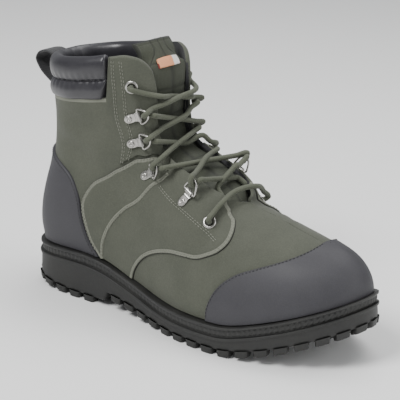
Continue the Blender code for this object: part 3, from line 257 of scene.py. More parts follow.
# Upper edge of the outer shell, from the collar's back over the facing to the ridge of the toe
TOPLINE = columns(
    "along x half height lift",
    (0.0000, SHAFT_BACK, 0, COLLAR_HEIGHT, 0),
    (0.0096, 1.18 * SHAFT_BACK, 0.165 * SHAFT_WIDTH, 1.002 * COLLAR_HEIGHT, 0),
    (0.0385, 0.210 * SHAFT_FRONT, 0.330 * SHAFT_WIDTH, 1.008 * COLLAR_HEIGHT, 0),
    (0.0865, 0.340 * SHAFT_FRONT, 0.456 * SHAFT_WIDTH, 1.018 * COLLAR_HEIGHT, 0),
    (0.1440, 0.486 * SHAFT_FRONT, 0.500 * SHAFT_WIDTH, 1.030 * COLLAR_HEIGHT, 0),
    (0.1990, 0.632 * SHAFT_FRONT, 0.494 * SHAFT_WIDTH, 1.046 * COLLAR_HEIGHT, 0),
    (0.2500, 0.761 * SHAFT_FRONT, 0.456 * SHAFT_WIDTH, 0.992 * FACING_HEIGHT, 0),
    (0.2880, 0.866 * SHAFT_FRONT, 0.392 * SHAFT_WIDTH, FACING_HEIGHT, 0),
    (0.3140, 0.943 * SHAFT_FRONT, 0.689 * THROAT_GAP, 0.983 * FACING_HEIGHT, 0),
    (0.3330, 0.984 * SHAFT_FRONT, 0.581 * THROAT_GAP, 0.948 * FACING_HEIGHT, 0),
    (0.3526, SHAFT_FRONT, 0.527 * THROAT_GAP, 0.893 * FACING_HEIGHT, 0),
    (0.3846, 0.996 * SHAFT_FRONT, 0.500 * THROAT_GAP, 0.808 * FACING_HEIGHT, 0.0),
    (0.4167, 1.004 * SHAFT_FRONT, 0.500 * THROAT_GAP, 0.723 * FACING_HEIGHT, 0.2),
    (0.4487, 0.662 * THROAT_END, 0.514 * THROAT_GAP, 1.316 * INSTEP_HEIGHT, 0.6),
    (0.4808, 0.747 * THROAT_END, 0.527 * THROAT_GAP, 1.209 * INSTEP_HEIGHT, 1.0),
    (0.5128, 0.848 * THROAT_END, 0.500 * THROAT_GAP, 1.128 * INSTEP_HEIGHT, 1.0),
    (0.5449, 0.939 * THROAT_END, 0.400 * THROAT_GAP, 1.056 * INSTEP_HEIGHT, 0.8),
    (0.5705, 0.985 * THROAT_END, 0.220 * THROAT_GAP, 1.015 * INSTEP_HEIGHT, 0.3),
    (0.5865, THROAT_END, 0, INSTEP_HEIGHT, 0),
    (0.6730, 1.106 * THROAT_END, 0, 0.952 * INSTEP_HEIGHT, 0),
    (0.7690, 0.886 * TOE_ROUND, 0, 1.084 * TOE_HEIGHT, 0),
    (0.8490, 0.945 * TOE_ROUND, 0, 1.035 * TOE_HEIGHT, 0),
    (0.9230, 0.978 * TOE_ROUND, 0, 1.010 * TOE_HEIGHT, 0),
    (1.0000, TOE_ROUND, 0, TOE_HEIGHT, 0),
)
COLLAR_FRONT = TOPLINE["along"][6]
VAMP_POINT = TOPLINE["along"][18]
# Outward swell of the shaft over its height, at the heel's back and at its sides
SWELL = columns(
    "share back side",
    (0.00, 0, 0),
    (0.10, 0.95 * HEEL_BULGE, 0.65 * HEEL_BULGE),
    (0.20, 0.80 * HEEL_BULGE, 0.85 * HEEL_BULGE),
    (0.32, 0.05 * HEEL_BULGE, 0.30 * HEEL_BULGE),
    (0.43, -0.60 * ANKLE_NARROWING, -0.30 * ANKLE_NARROWING),
    (0.56, -ANKLE_NARROWING, -0.50 * ANKLE_NARROWING),
    (0.70, -0.80 * ANKLE_NARROWING, -0.45 * ANKLE_NARROWING),
    (0.80, -0.38 * ANKLE_NARROWING, -0.20 * ANKLE_NARROWING),
    (1.00, 0, 0),
)
# Edge of the toe cap: height on the upper's columns, from the sole to the ridge
CAP_EDGE = seam(
    (0.650, 0.00), (0.652, 0.09), (0.667, 0.20), (0.692, 0.30), (0.719, 0.37), (0.760, 0.44),
    (0.813, 0.54), (0.851, 0.64), (0.894, 0.80), (0.930, 1.00), (1.000, 1.00),
)
# Edge of the heel counter: from its tip at the back down to the sole
COUNTER_EDGE = seam(
    (0.000, 0.530), (0.030, 0.505), (0.085, 0.460), (0.143, 0.400), (0.186, 0.294), (0.209, 0.160),
    (0.232, 0.060), (0.258, 0.000),
)
# Edges of the sewn panels of one side, from the sole up
STRAP_REAR = seam(
    (0.264, 0.002), (0.238, 0.062), (0.214, 0.160), (0.200, 0.270), (0.2215, 0.364), (0.2794, 0.439),
    (0.3233, 0.500), (0.409, 0.695), (0.4435, 0.846),
)
STRAP_FRONT = seam(
    (0.279, 0.008), (0.2798, 0.070), (0.2964, 0.169), (0.3315, 0.269), (0.3929, 0.403), (0.4330, 0.560),
    (0.4612, 0.703), (0.4712, 0.802),
)
QUARTER_REAR = seam(
    (0.2825, 0.008), (0.2833, 0.070), (0.3000, 0.166), (0.3350, 0.264), (0.3965, 0.396),
    (0.4370, 0.555), (0.4650, 0.700), (0.4750, 0.802), (0.4700, 1.050),
)
QUARTER_FRONT = seam(
    (0.3799, 0.001), (0.3846, 0.035), (0.4075, 0.112), (0.4516, 0.208), (0.4981, 0.278),
    (0.5523, 0.335), (0.5958, 0.373), (0.6116, 0.399), (0.6425, 0.469), (0.6555, 0.560),
    (0.6484, 0.667), (0.6222, 0.769), (0.5869, 0.823), (0.5624, 0.902), (0.5500, 1.000),
)
FACING_REAR = seam(
    (0.2914, 0.470), (0.2898, 0.561), (0.2676, 0.696), (0.2597, 0.832), (0.2530, 0.930),
    (0.2500, 1.000),
)
FACING_FOOT = seam(
    (0.4420, 0.990), (0.4380, 0.850), (0.4050, 0.700), (0.3200, 0.510),
)
# Free end of the tongue, from its top down
TONGUE_TOP = columns(
    "height front half",
    (1.050 * FACING_HEIGHT, 0.878 * SHAFT_FRONT, 0.270 * SHAFT_WIDTH),
    (1.006 * FACING_HEIGHT, 0.930 * SHAFT_FRONT, 0.270 * SHAFT_WIDTH),
)
# Rows of the tongue along the throat, with its clearance under the upper's wall
TONGUE_ROWS = columns(
    "along clear",
    (0.3330, STANDING_GAP), (0.3526, STANDING_GAP), (0.3846, STANDING_GAP), (0.4167, 8 * GAP),
    (0.4487, 12 * GAP), (0.4808, 6 * GAP), (0.5128, 6 * GAP), (0.5449, 12 * GAP),
)
# Root of the tongue under the vamp
TONGUE_ROOT = columns(
    "front half height",
    (0.985 * THROAT_END, 0.80 * TONGUE_LAP, 0.928 * INSTEP_HEIGHT),
    (1.060 * THROAT_END, 0.75 * TONGUE_LAP, 0.922 * INSTEP_HEIGHT),
)
# Places of the clips of one side on the upper, from the top down, and the angle at which each points
CLIPS = columns(
    "along share aim",
    (0.3020, 0.6930, 18),
    (0.3153, 0.5761, 18),
    (0.3922, 0.5316, 31),
    (0.5075, 0.6650, 64),
)
# Places of the drain eyelets of the inner side, and whether a panel lies under each
DRAINS = columns(
    "along share under",
    (0.366, 0.200, 1),
    (0.520, 0.150, 0),
)
# Shape of a D-ring in its own plane: across and away from its bar
RING_SHAPE = columns(
    "across reach",
    (-0.50, 0), (0.50, 0), (0.52, 0.42), (0.32, 0.85), (0, 1.0), (-0.32, 0.85), (-0.52, 0.42),
)
RING_SHAPE["across"] *= RING_WIDTH
RING_SHAPE["reach"] *= RING_REACH
# Pull loop in side view: share of the way down the collar and share of its reach
LOOP = columns(
    "down reach",
    (0.00, 0.00), (-0.06, 0.45), (0.04, 0.85), (0.24, 1.00), (0.52, 0.86), (0.80, 0.50), (1.00, 0.00),
)
# Padded collar in section: height over its foot and distance from the upper's outer face
COLLAR_SECTION = columns(
    "share out",
    (0.020, -0.10), (0.090, 0.45), (0.260, 0.75), (0.430, 0.35), (0.480, -0.05), (0.530, 0.35),
    (0.720, 0.90), (0.920, 0.70), (1.030, -0.05), (1.050, -1.0), (0.930, -2.00), (0.600, -2.20),
    (0.200, -2.00), (0.020, -1.0),
)
COLLAR_SECTION["out"] *= COLLAR_PAD

# %% [markdown]
# The last as a function.
#
# A boot is pulled over a last, and every panel of it is cut to that one form. So the whole upper
# is one function here: it takes the side, a place t from heel to toe and a share v of the way up,
# and gives the point. A panel, a seam or a crease is then only a rule for t and v. The functions
# take whole arrays, so a thousand points cost no more lines than one.

# %% The sole's outline and heights
def sole_edge(side, t, inset=0.0):
    """Point of the sole's outline on one side, moved in by the inset along its normal."""
    side, t = np.broadcast_arrays(np.asarray(side, dtype=float), np.asarray(t, dtype=float))

    def edge(u):
        rows = turn(OUTLINE["along"])
        half = curve(rows, OUTLINE["half"], np.clip(u, 0, 1))
        middle = curve(rows, OUTLINE["middle"], np.clip(u, 0, 1))
        x = SOLE_LENGTH * (1 - np.cos(np.pi * u)) / 2
        return np.stack([x, middle + side * np.where((u < 0) | (u > 1), -half, half)], -1)

    small = 1e-4
    back = edge(np.clip(t - small, 0, 1))
    ahead = edge(np.clip(t + small, 0, 1))
    along = unit(ahead - back)
    ends = (t <= small) | (t >= 1 - small)
    across = np.stack([0 * t * side, side * np.where(t <= small, 1.0, -1.0)], -1)
    along = np.where(ends[..., None], across, along)
    inward = np.stack([along[..., 1], -along[..., 0]], -1) * np.asarray(side)[..., None]
    return edge(t) + inset * inward


def spring(x):
    """Rise of the sole towards the toe."""
    share = np.clip((x - SPRING_START) / (SOLE_LENGTH - SPRING_START), 0, 1)
    return TOE_SPRING * share**1.5


def sole_bottom(x):
    """Height of the outsole's base above the floor, over its lugs: heel, breast, arch and ball."""
    arch = curve(ARCH["along"], ARCH["lift"], np.clip(x / SOLE_LENGTH, 0.30, 0.60))
    step = np.clip((x - BREAST) / BREAST_SLOPE, 0, 1)
    roll = HEEL_ROLL * np.clip(1 - x / HEEL_ROLL_START, 0, 1) ** 1.5
    return LUG_DEPTH + arch * step + roll + spring(x)


def sole_top(x):
    """Height of the outsole's upper face."""
    return curve(PROFILE["along"], PROFILE["thick"], np.clip(x / SOLE_LENGTH, 0, 1)) + spring(x)


def welt_top(x):
    """Height of the face that the upper stands on."""
    return sole_top(x) + GAP + WELT_HEIGHT


# %% The upper's face
def upper_point(side, t, v, out=0.0):
    """Point of the upper's outer face: t runs from heel to toe, v from the sole to the top edge.

    Each column rises from the sole's edge to the top line. At the shaft it is a straight line
    with the swell added; over the forefoot it is a quarter of an ellipse, upright at the sole
    and level at the ridge; between them the two are mixed.
    """
    side, t, v = np.broadcast_arrays(*(np.asarray(a, dtype=float) for a in (side, t, v)))
    rows = turn(TOPLINE["along"])
    foot = sole_edge(side, t, FEATHER_INSET)
    foot_z = welt_top(foot[..., 0]) + STANDING_GAP
    top_x = curve(rows, TOPLINE["x"], t)
    half = np.maximum(curve(rows, TOPLINE["half"], t), 0)
    half = np.where(t >= turn(VAMP_POINT), 0, half)
    closing = part_way(t, 0.50, 0.74)
    soft = np.where(closing > 0, 0.5 * THROAT_GAP * (1 - eased(closing)), half)
    near_top = np.clip((v - 0.5) / 0.5, 0, 1)
    half = soft + (half - soft) * eased(near_top)
    forward = part_way(t, 0.20, 0.50)
    top_y = side * half + RIDGE_SHIFT * eased(forward)
    top_z = curve(rows, TOPLINE["height"], t)
    lift = np.where((t >= turn(VAMP_POINT)) | (side == LATERAL), 0, curve(rows, TOPLINE["lift"], t))
    top_z = top_z + MEDIAL_LIFT * np.clip(lift, 0, 1)
    arch = eased(part_way(t, 0.24, 0.56))
    across = (1 - arch) * v + arch * (1 - np.cos(v * np.pi / 2))
    rise = (1 - arch) * v + arch * np.sin(v * np.pi / 2)
    round_back = np.cos(np.clip(t / turn(0.14), 0, 1) * np.pi / 2) ** 2
    swell = round_back * curve(SWELL["share"], SWELL["back"], v)
    swell = swell + (1 - round_back) * curve(SWELL["share"], SWELL["side"], v)
    swell = swell * (1 - arch)
    outward = unit(foot - sole_edge(side, t, FEATHER_INSET + 0.001))
    plan = foot + across[..., None] * (np.stack([top_x, top_y], -1) - foot)
    plan = plan + outward * swell[..., None]
    point = np.concatenate([plan, (foot_z + rise * (top_z - foot_z))[..., None]], -1)
    if np.ndim(out) or out:
        point = point + upper_normal(side, t, v) * np.asarray(out)[..., None]
    return point


def upper_normal(side, t, v):
    """Outward normal of the upper's outer face."""
    step = 2e-3
    v = np.clip(v, 0, 1)
    t0, t1 = np.clip(t - step, 0, 1), np.clip(t + step, 0, 1)
    v0, v1 = np.clip(v - step, 0, 1), np.clip(v + step, 0, 1)
    along = upper_point(side, t1, v) - upper_point(side, t0, v)
    up = upper_point(side, t, v1) - upper_point(side, t, v0)
    normal = unit(np.cross(along, up) * -np.asarray(side)[..., None])
    middle = (np.asarray(t) <= step) | (np.asarray(t) >= 1 - step)
    ridge = (np.asarray(v) >= 1 - step) & (np.asarray(t) >= turn(VAMP_POINT))
    flat = normal.copy()
    flat[..., 1] = 0
    return np.where((middle | ridge)[..., None], unit(flat), normal)


# %% [markdown]
# Wear on the leather.
#
# A boot that has been tried on bends across the ball and behind the ankle. Each row of the table
# is one soft trough, drawn in side view from one end to the other, with its width and
# depth. Beside a trough the leather rises a little, so its section is a valley between two low
# swells: depth * (0.45 * r^2 - 1) * exp(-r^2 / 2), where r is the distance over the width.

# %% Creases, on both sides of the boot
CREASES = columns(
    "x0 z0 x1 z1 width depth side",
    (0.214, 0.093, 0.200, 0.050, 0.0050, 0.0008, 0),
    (0.203, 0.096, 0.184, 0.066, 0.0045, 0.0006, 0),
    (0.226, 0.089, 0.217, 0.052, 0.0045, 0.0004, MEDIAL),
    (0.040, 0.126, 0.076, 0.112, 0.0060, 0.0010, 0),
    (0.052, 0.144, 0.088, 0.134, 0.0060, 0.0006, 0),
    (0.084, 0.112, 0.100, 0.088, 0.0050, 0.0007, LATERAL),
    (0.088, 0.106, 0.106, 0.086, 0.0050, 0.0006, MEDIAL),
    (0.150, 0.046, 0.196, 0.041, 0.0070, 0.0007, 0),
)


UNEVEN = 0.00022  # height of the broad unevenness, and its waves per metre along, up and aslant
WAVES = (61, 83, 37)
CREASE_SWELL = 0.45  # how much the leather rises beside a crease
CREASE_FADE = 1.6  # how far a crease fades past its ends, in widths


def wear(side, point):
    """Height of the creases, and of a broad unevenness, over the bare last."""
    x, z = point[..., 0], point[..., 2]
    height = UNEVEN * np.sin(WAVES[0] * x + 2.2 * side) * np.sin(WAVES[1] * z + WAVES[2] * x + side)
    for x0, z0, x1, z1, width, depth, where in zip(*CREASES.values()):
        way = np.array([x1 - x0, z1 - z0])
        length = np.linalg.norm(way)
        run = ((x - x0) * way[0] + (z - z0) * way[1]) / length
        apart = ((x - x0) * way[1] - (z - z0) * way[0]) / length
        past = np.maximum(np.maximum(-run, run - length), 0)
        r2 = (apart / width) ** 2 + (past / (CREASE_FADE * width)) ** 2
        trough = depth * (CREASE_SWELL * r2 - 1) * np.exp(-r2 / 2)
        height = height + np.where((where == 0) | (side == where), trough, 0)
    return height


def skin(side, t, v, out=0.0):
    """Point over the worn upper in the model's own frame, the distance out along its normal."""
    side, t, v, out = np.broadcast_arrays(*(np.asarray(a, dtype=float) for a in (side, t, v, out)))
    base = upper_point(side, t, v)
    normal = upper_normal(side, t, v)
    return HEEL + base + (out + wear(side, base))[..., None] * normal


low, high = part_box("upper")
t, v = np.meshgrid(np.linspace(0, 1, 60), np.linspace(0, 1, 30))
spots = np.concatenate([skin(LATERAL, t, v).reshape(-1, 3), skin(MEDIAL, t, v).reshape(-1, 3)])
print("skin to solid, mm:", 1000 * (spots.min(0) - low), 1000 * (spots.max(0) - high))

# %% [markdown]
# Surfaces from grids.
#
# Every piece is a grid of points with quads between them. A panel has a front and a back grid,
# sewn together round the border. A tube is a grid whose rows close on themselves.

# %% Making a mesh from grids
def quads(rows, cols, closed_rows=False, closed_cols=False):
    """Corner numbers of the quads of a grid, as one array."""
    i = np.arange(rows if closed_rows else rows - 1)[:, None]
    j = np.arange(cols if closed_cols else cols - 1)[None, :]
    below, right = (i + 1) % rows, (j + 1) % cols
    corners = [i * cols + j, i * cols + right, below * cols + right, below * cols + j]
    return np.stack(corners, -1).reshape(-1, 4)


MERGED = 2e-6  # points nearer to each other than this become one
FLATTENED = 1e-7  # edges shorter than this go


def add_mesh(name, points, faces, finish, slot, stands_for=(), marks=None, flat_over=60):
    """Shown piece from points and faces, with its point values, its finish and its CAD nodes."""
    mesh = bpy.data.meshes.new(name)
    mesh.from_pydata(np.reshape(points, (-1, 3)).tolist(), [], [list(dict.fromkeys(f)) for f in faces])
    for word, values in (marks or {}).items():
        stored = mesh.attributes.new(word, "FLOAT", "POINT")
        stored.data.foreach_set("value", np.ravel(values).astype(np.float32))
    work = bmesh.new()
    work.from_mesh(mesh)
    bmesh.ops.remove_doubles(work, verts=work.verts, dist=MERGED)
    bmesh.ops.dissolve_degenerate(work, edges=work.edges, dist=FLATTENED)
    bmesh.ops.recalc_face_normals(work, faces=work.faces)
    work.to_mesh(mesh)
    work.free()
    mesh.shade_smooth()
    mesh.set_sharp_from_angle(angle=math.radians(flat_over))
    piece = bpy.data.objects.new(name, mesh)
    bpy.context.scene.collection.objects.link(piece)
    mesh.materials.append(finish)
    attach(piece, "root")
    if stands_for:
        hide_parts(*stands_for)
    mesh.calc_loop_triangles()
    print(name, len(mesh.loop_triangles), "triangles")
    return piece


def border(rows, cols):
    """Numbers of a grid's border points, once round."""
    top, bottom = np.arange(cols), (rows - 1) * cols + np.arange(cols)[::-1]
    right, left = np.arange(1, rows - 1) * cols + cols - 1, np.arange(1, rows - 1)[::-1] * cols
    return np.concatenate([top, right, bottom, left])


def two_faces(front, back):
    """Points and quads of a front and a back grid that are sewn together round the border."""
    rows, cols = front.shape[:2]
    face = quads(rows, cols)
    edge = border(rows, cols)
    ahead = np.roll(edge, -1)
    rim = np.stack([edge, edge + rows * cols, ahead + rows * cols, ahead], -1)
    points = np.concatenate([front.reshape(-1, 3), back.reshape(-1, 3)])
    return points, np.concatenate([face, face[:, ::-1] + rows * cols, rim])


def joined(parts):
    """Several (points, faces) as one."""
    points, faces, first = [], [], 0
    for spots, corners in parts:
        points.append(np.reshape(spots, (-1, 3)))
        faces += (np.asarray(corners) + first).tolist()
        first += len(points[-1])
    return np.concatenate(points), faces


def tube_of(rings):
    """Points and quads of a tube of rings, closed at both ends by a point in the middle."""
    rows, cols = rings.shape[:2]
    points = np.concatenate([rings.reshape(-1, 3), rings[0].mean(0)[None], rings[-1].mean(0)[None]])
    c = np.arange(cols)
    ahead, last, tip = (c + 1) % cols, (rows - 1) * cols, 0 * c + rows * cols
    ends = [np.stack([c, ahead, tip, tip], -1), np.stack([last + ahead, last + c, tip + 1, tip + 1], -1)]
    return points, np.concatenate([quads(rows, cols, closed_cols=True), *ends])


def along_path(path, sections, first_across):
    """Rings round a path. A section is given by its across and over for each place and corner."""
    ahead = unit(np.gradient(path, axis=0))
    across = np.empty_like(path)
    turn_to = np.asarray(first_across, dtype=float)
    for k, way in enumerate(ahead):
        turn_to = turn_to - (turn_to @ way) * way
        turn_to /= np.linalg.norm(turn_to)
        across[k] = turn_to
    over = np.cross(ahead, across)
    return path[:, None] + sections[..., :1] * across[:, None] + sections[..., 1:] * over[:, None]


def smooth_path(points, spacing):
    """Cubic through the points, read at even steps of its length."""
    points = np.asarray(points)
    run = run_along(points)
    fine = np.linspace(0, run[-1], int(8 * run[-1] / spacing))
    line = np.stack([curve(run, points[:, a], fine) for a in range(3)], -1)
    real = run_along(line)
    even = np.linspace(0, real[-1], max(int(real[-1] / spacing), 4))
    return read_line(real, line, even)


# %% [markdown]
# Finishes.
#
# All the finishes are one small node tree: a base colour that wanders between two tones by a
# broad noise, a grain by a fine noise in the bump, and a roughness. Fabrics add a soft sheen,
# coated leather a thin coat. Two values stored on the points steer the rest: "band" is the
# distance from a seam's folded edge, where the nubuck is rubbed lighter and a thin dark line of
# painted shade runs along the edge itself, and "shade" paints shade into what lies in a fold.

# %% The finishes
BAND = 0.0034  # width of the folded, lighter edge of a panel
CLOUDS = {"Scale": 38.0, "Detail": 4.0, "Roughness": 0.6}  # broad noise
GRAIN = {"Detail": 3.0, "Roughness": 0.65}  # fine noise, its scale is the finish's own
SPECK = 0.35  # share of the grain in the colour
DARKEST, PALEST = 0.80, 1.12  # the grain's colours, as shares of the two tones
# The edge along a folded seam gets a thin dark line of painted shade between these distances.
SEAM_SHADE_REACH = (0.0009, 0.0002)  # distances from the border between which a panel's cut edge darkens
SEAM_SHADE_SHARE, SHADE_SHARE = 0.16, 0.30  # what is left of the colour in a fold and in a shade


def finish(
    name, colour, tone, roughness, grain, height, metallic=0.0, coat=0.0, sheen=0.0, band=None, weave=0.0
):
    """Principled finish: colour wanders to tone; grain is the fine noise's scale, height its depth."""
    made = bpy.data.materials.new(name)
    made.use_nodes = True
    tree = made.node_tree
    shader = tree.nodes["Principled BSDF"]
    given = {"Metallic": metallic, "Coat Weight": coat, "Sheen Weight": sheen}
    for word, value in {**given, "Coat Roughness": 0.35, "Sheen Roughness": 0.5}.items():
        shader.inputs[word].default_value = value

    def node(kind, **values):
        item = tree.nodes.new(kind)
        for word, value in values.items():
            if hasattr(item, word):
                setattr(item, word, value)
            else:
                item.inputs[word.replace("_", " ")].default_value = value
        return item

    def mix(factor, first, second):
        item = node("ShaderNodeMix", data_type="RGBA")
        tree.links.new(factor, item.inputs[0])
        for place, value in ((6, first), (7, second)):
            if hasattr(value, "links"):
                tree.links.new(value, item.inputs[place])
            else:
                item.inputs[place].default_value = (*value, 1)
        return item.outputs[2]

    def spread(value, low, high, to_low=0.0, to_high=1.0):
        item = node("ShaderNodeMapRange", interpolation_type="SMOOTHSTEP")
        tree.links.new(value, item.inputs["Value"])
        words = ("From Min", "From Max", "To Min", "To Max")
        for word, number in zip(words, (low, high, to_low, to_high)):
            item.inputs[word].default_value = number
        return item.outputs["Result"]

    place = node("ShaderNodeTexCoord").outputs["Object"]
    broad = node("ShaderNodeTexNoise", **CLOUDS)
    fine = node("ShaderNodeTexNoise", Scale=grain, **GRAIN)
    for item in (broad, fine):
        tree.links.new(place, item.inputs["Vector"])
    shown = mix(spread(broad.outputs["Fac"], 0.32, 0.68), colour, tone)
    dark, pale = tuple(DARKEST * c for c in colour), tuple(PALEST * c for c in tone)
    speck = mix(spread(fine.outputs["Fac"], 0.30, 0.75), dark, pale)
    blend = node("ShaderNodeMix", data_type="RGBA", Factor=SPECK)
    tree.links.new(shown, blend.inputs[6])
    tree.links.new(speck, blend.inputs[7])
    shown = blend.outputs[2]
    if band:
        edge = node("ShaderNodeAttribute", attribute_name="band").outputs["Fac"]
        shown = mix(spread(edge, BAND, BAND - 0.0003), shown, band)
        # A thin dark line of painted shade along the folded edge, where the seam lies.
        shown = mix(spread(edge, *SEAM_SHADE_REACH), shown, tuple(SEAM_SHADE_SHARE * c for c in colour))
        # Painted shade where the "shade" value is set, as in the tongue's quilting grooves.
        shade = node("ShaderNodeAttribute", attribute_name="shade").outputs["Fac"]
        shown = mix(shade, shown, tuple(SHADE_SHARE * c for c in colour))
    tree.links.new(shown, shader.inputs["Base Color"])
    rough = spread(broad.outputs["Fac"], 0.3, 0.7, roughness - 0.05, roughness + 0.05)
    tree.links.new(rough, shader.inputs["Roughness"])
    bump = node("ShaderNodeBump", Strength=1.0, Distance=height)
    tree.links.new(fine.outputs["Fac"], bump.inputs["Height"])
    if weave:
        for way in ("X", "Z"):
            wave = node("ShaderNodeTexWave", bands_direction=way, Scale=weave, Distortion=0.4)
            tree.links.new(place, wave.inputs["Vector"])
            more = node("ShaderNodeBump", Strength=0.6, Distance=height)
            tree.links.new(wave.outputs["Fac"], more.inputs["Height"])
            tree.links.new(bump.outputs["Normal"], more.inputs["Normal"])
            bump = more
    tree.links.new(bump.outputs["Normal"], shader.inputs["Normal"])
    return made


# Name, the two tones, roughness, the grain's scale and the grain's depth
LOOKS = {
    "nubuck": ("olive_grey_nubuck", (0.058, 0.063, 0.045), (0.081, 0.086, 0.065), 0.86, 900, 0.00022),
    "coated": ("dark_coated_leather", (0.032, 0.031, 0.036), (0.045, 0.044, 0.050), 0.64, 1100, 0.00008),
    "collar": ("glossy_padded_fabric", (0.018, 0.017, 0.021), (0.028, 0.027, 0.032), 0.38, 700, 0.00008),
    "rubber": ("black_rubber", (0.010, 0.010, 0.0095), (0.020, 0.020, 0.018), 0.58, 420, 0.00010),
    "welt": ("welt_rubber", (0.011, 0.011, 0.0105), (0.022, 0.022, 0.020), 0.50, 500, 0.00008),
    "lining": ("felted_lining", (0.020, 0.020, 0.022), (0.032, 0.032, 0.034), 0.95, 800, 0.00025),
    "tongue": ("quilted_nylon", (0.028, 0.032, 0.019), (0.040, 0.045, 0.028), 0.72, 600, 0.00008),
    "cord": ("braided_cord", (0.070, 0.077, 0.052), (0.100, 0.107, 0.078), 0.85, 1500, 0.00012),
    "thread": ("sewing_thread", (0.170, 0.176, 0.142), (0.220, 0.226, 0.186), 0.70, 2500, 0.00004),
    "dark_thread": ("dark_sewing_thread", (0.020, 0.020, 0.021), (0.032, 0.032, 0.034), 0.70, 2500, 0.00004),
    "webbing": ("black_webbing", (0.016, 0.016, 0.017), (0.026, 0.026, 0.028), 0.80, 900, 0.00020),
    "steel": ("nickel_plated_steel", (0.38, 0.37, 0.35), (0.52, 0.51, 0.48), 0.30, 700, 0.00002),
}
# What some of them have besides
EXTRAS = {
    "nubuck": {"sheen": 0.08, "band": (0.178, 0.184, 0.146)},
    "coated": {"coat": 0.03},
    "collar": {"coat": 0.2},
    "lining": {"sheen": 0.2},
    "tongue": {"sheen": 0.06, "band": (0.016, 0.018, 0.012), "weave": 420.0},
    "cord": {"sheen": 0.08},
    "webbing": {"sheen": 0.2},
    "steel": {"metallic": 1.0},
}
FINISHES = {key: finish(*look, **EXTRAS.get(key, {})) for key, look in LOOKS.items()}
print("finishes:", ", ".join(FINISHES))

# %% [markdown]
# The shell of the upper.
#
# The real upper is nubuck-like leather, lined with felt, some two and a half millimetres in all.
# It is one closed grid here: an outer face, an inner face and the cut edge between them. The
# columns run up the outer side of the boot to the toe and back down the inner side. Behind the
# facings the grid stops at the collar's foot, because the padded collar takes over there.

# %% The upper's shell
def loop_of(t):
    """Sides and places of columns that go once round the boot, from heel to toe and back."""
    side = np.concatenate([np.full(len(t), LATERAL), np.full(len(t) - 2, MEDIAL)])
    return side, np.concatenate([t, t[1:-1][::-1]])


COLLAR_END = turn(COLLAR_FRONT) - 0.0045  # where the padded collar stops, short of the facing
SHELL_TOP = COLLAR_FOOT + 0.012  # the shell reaches a little way up under the collar
COLLAR_SEAM = 0.0015  # from the collar's foot down to the lighter seam
count_t, count_v = 296, 61
columns_t = np.unique(np.concatenate([np.linspace(0, 1, count_t), [COLLAR_END, COLLAR_END + 0.001]]))
side, t = loop_of(columns_t)
top = np.where(t <= COLLAR_END, SHELL_TOP, 1.0)
share = np.unique(np.append(np.linspace(0, 1, count_v), SHELL_TOP))
side, t, v = side[:, None], t[:, None], np.minimum(share, top[:, None])
outer, inner = skin(side, t, v), skin(side, t, v, -WALL)
count, rows = outer.shape[:2]
face = quads(count, rows, closed_rows=True)
ring = np.arange(count) * rows
rims = []
for edge in (ring, ring + rows - 1):
    ahead = np.roll(edge, -1)
    rims.append(np.stack([edge, ahead, ahead + count * rows, edge + count * rows], -1))
points = np.concatenate([outer.reshape(-1, 3), inner.reshape(-1, 3)])
faces = np.concatenate([face, face[:, ::-1] + count * rows, *rims])
below_collar = np.where(t <= COLLAR_END, 1.0, np.nan) * (v - COLLAR_FOOT) * -COLLAR_HEIGHT
band = np.abs(np.nan_to_num(below_collar, nan=1.0) + COLLAR_SEAM)
marks = {"band": np.concatenate([band.ravel(), np.ones(band.size)]), "shade": np.zeros(2 * band.size)}
shell = add_mesh("upper_shell", points, faces, FINISHES["nubuck"], "upper", ["upper"], marks)
shell.data.materials.append(FINISHES["lining"])


def polygon_values(piece, word):
    """Centres or normals of a piece's faces, one row each."""
    values = np.empty(3 * len(piece.data.polygons))
    piece.data.polygons.foreach_get(word, values)
    return values.reshape(-1, 3)


# A face belongs to the lining where it looks to the boot's core line
centres, normals = polygon_values(shell, "center"), polygon_values(shell, "normal")
core = HEEL + (0.42 * SOLE_LENGTH, RIDGE_SHIFT, 0.0)
core_x = np.clip(centres[:, 0], core[0] - 0.085, core[0] + 0.12)
away = centres[:, :2] - np.column_stack([core_x, 0 * core_x + core[1]])
facing_in = np.sum(normals[:, :2] * away, axis=1) + normals[:, 2] * 0.02 < 0
shell.data.polygons.foreach_set("material_index", facing_in.astype(np.int32))

# %% [markdown]
# The sewn panels.
#
# Cap, counter, straps, quarters and facings are cut from flat stock and sewn onto the shell. In
# the upper's own two parameters each is a ruled patch: a straight line runs from a place on its
# first edge to the like place on its second. Its cut edges are rounded as a quarter of a circle,
# height = thickness * sqrt(1 - (1 - d / r)^2), where d is the distance from the edge.

# %% Ruled patches with rounded edges
def seam_line(table, w):
    """Places (t, v) along a seam, read at shares w of its real length."""
    t, v = turn(table["along"]), np.minimum(table["share"], 1.0)
    spots = upper_point(LATERAL, t, v)
    run = run_along(spots)
    return np.stack([np.clip(curve(run, row, w * run[-1]), 0, 1) for row in (t, v)], -1)


def spaced(count):
    """Shares from 0 to 1 that lie closer together near both ends, where edges are rounded."""
    near = np.array([0.0015, 0.0035, 0.006, 0.009, 0.013, 0.018, 0.024])
    return np.unique(np.concatenate([np.linspace(0, 1, count), near, 1 - near]))


def rounded(distance, radius):
    """Share of the full height at a distance from a cut edge."""
    return np.sqrt(np.clip(1 - (1 - np.clip(distance / radius, 0, 1)) ** 2, 0, 1))


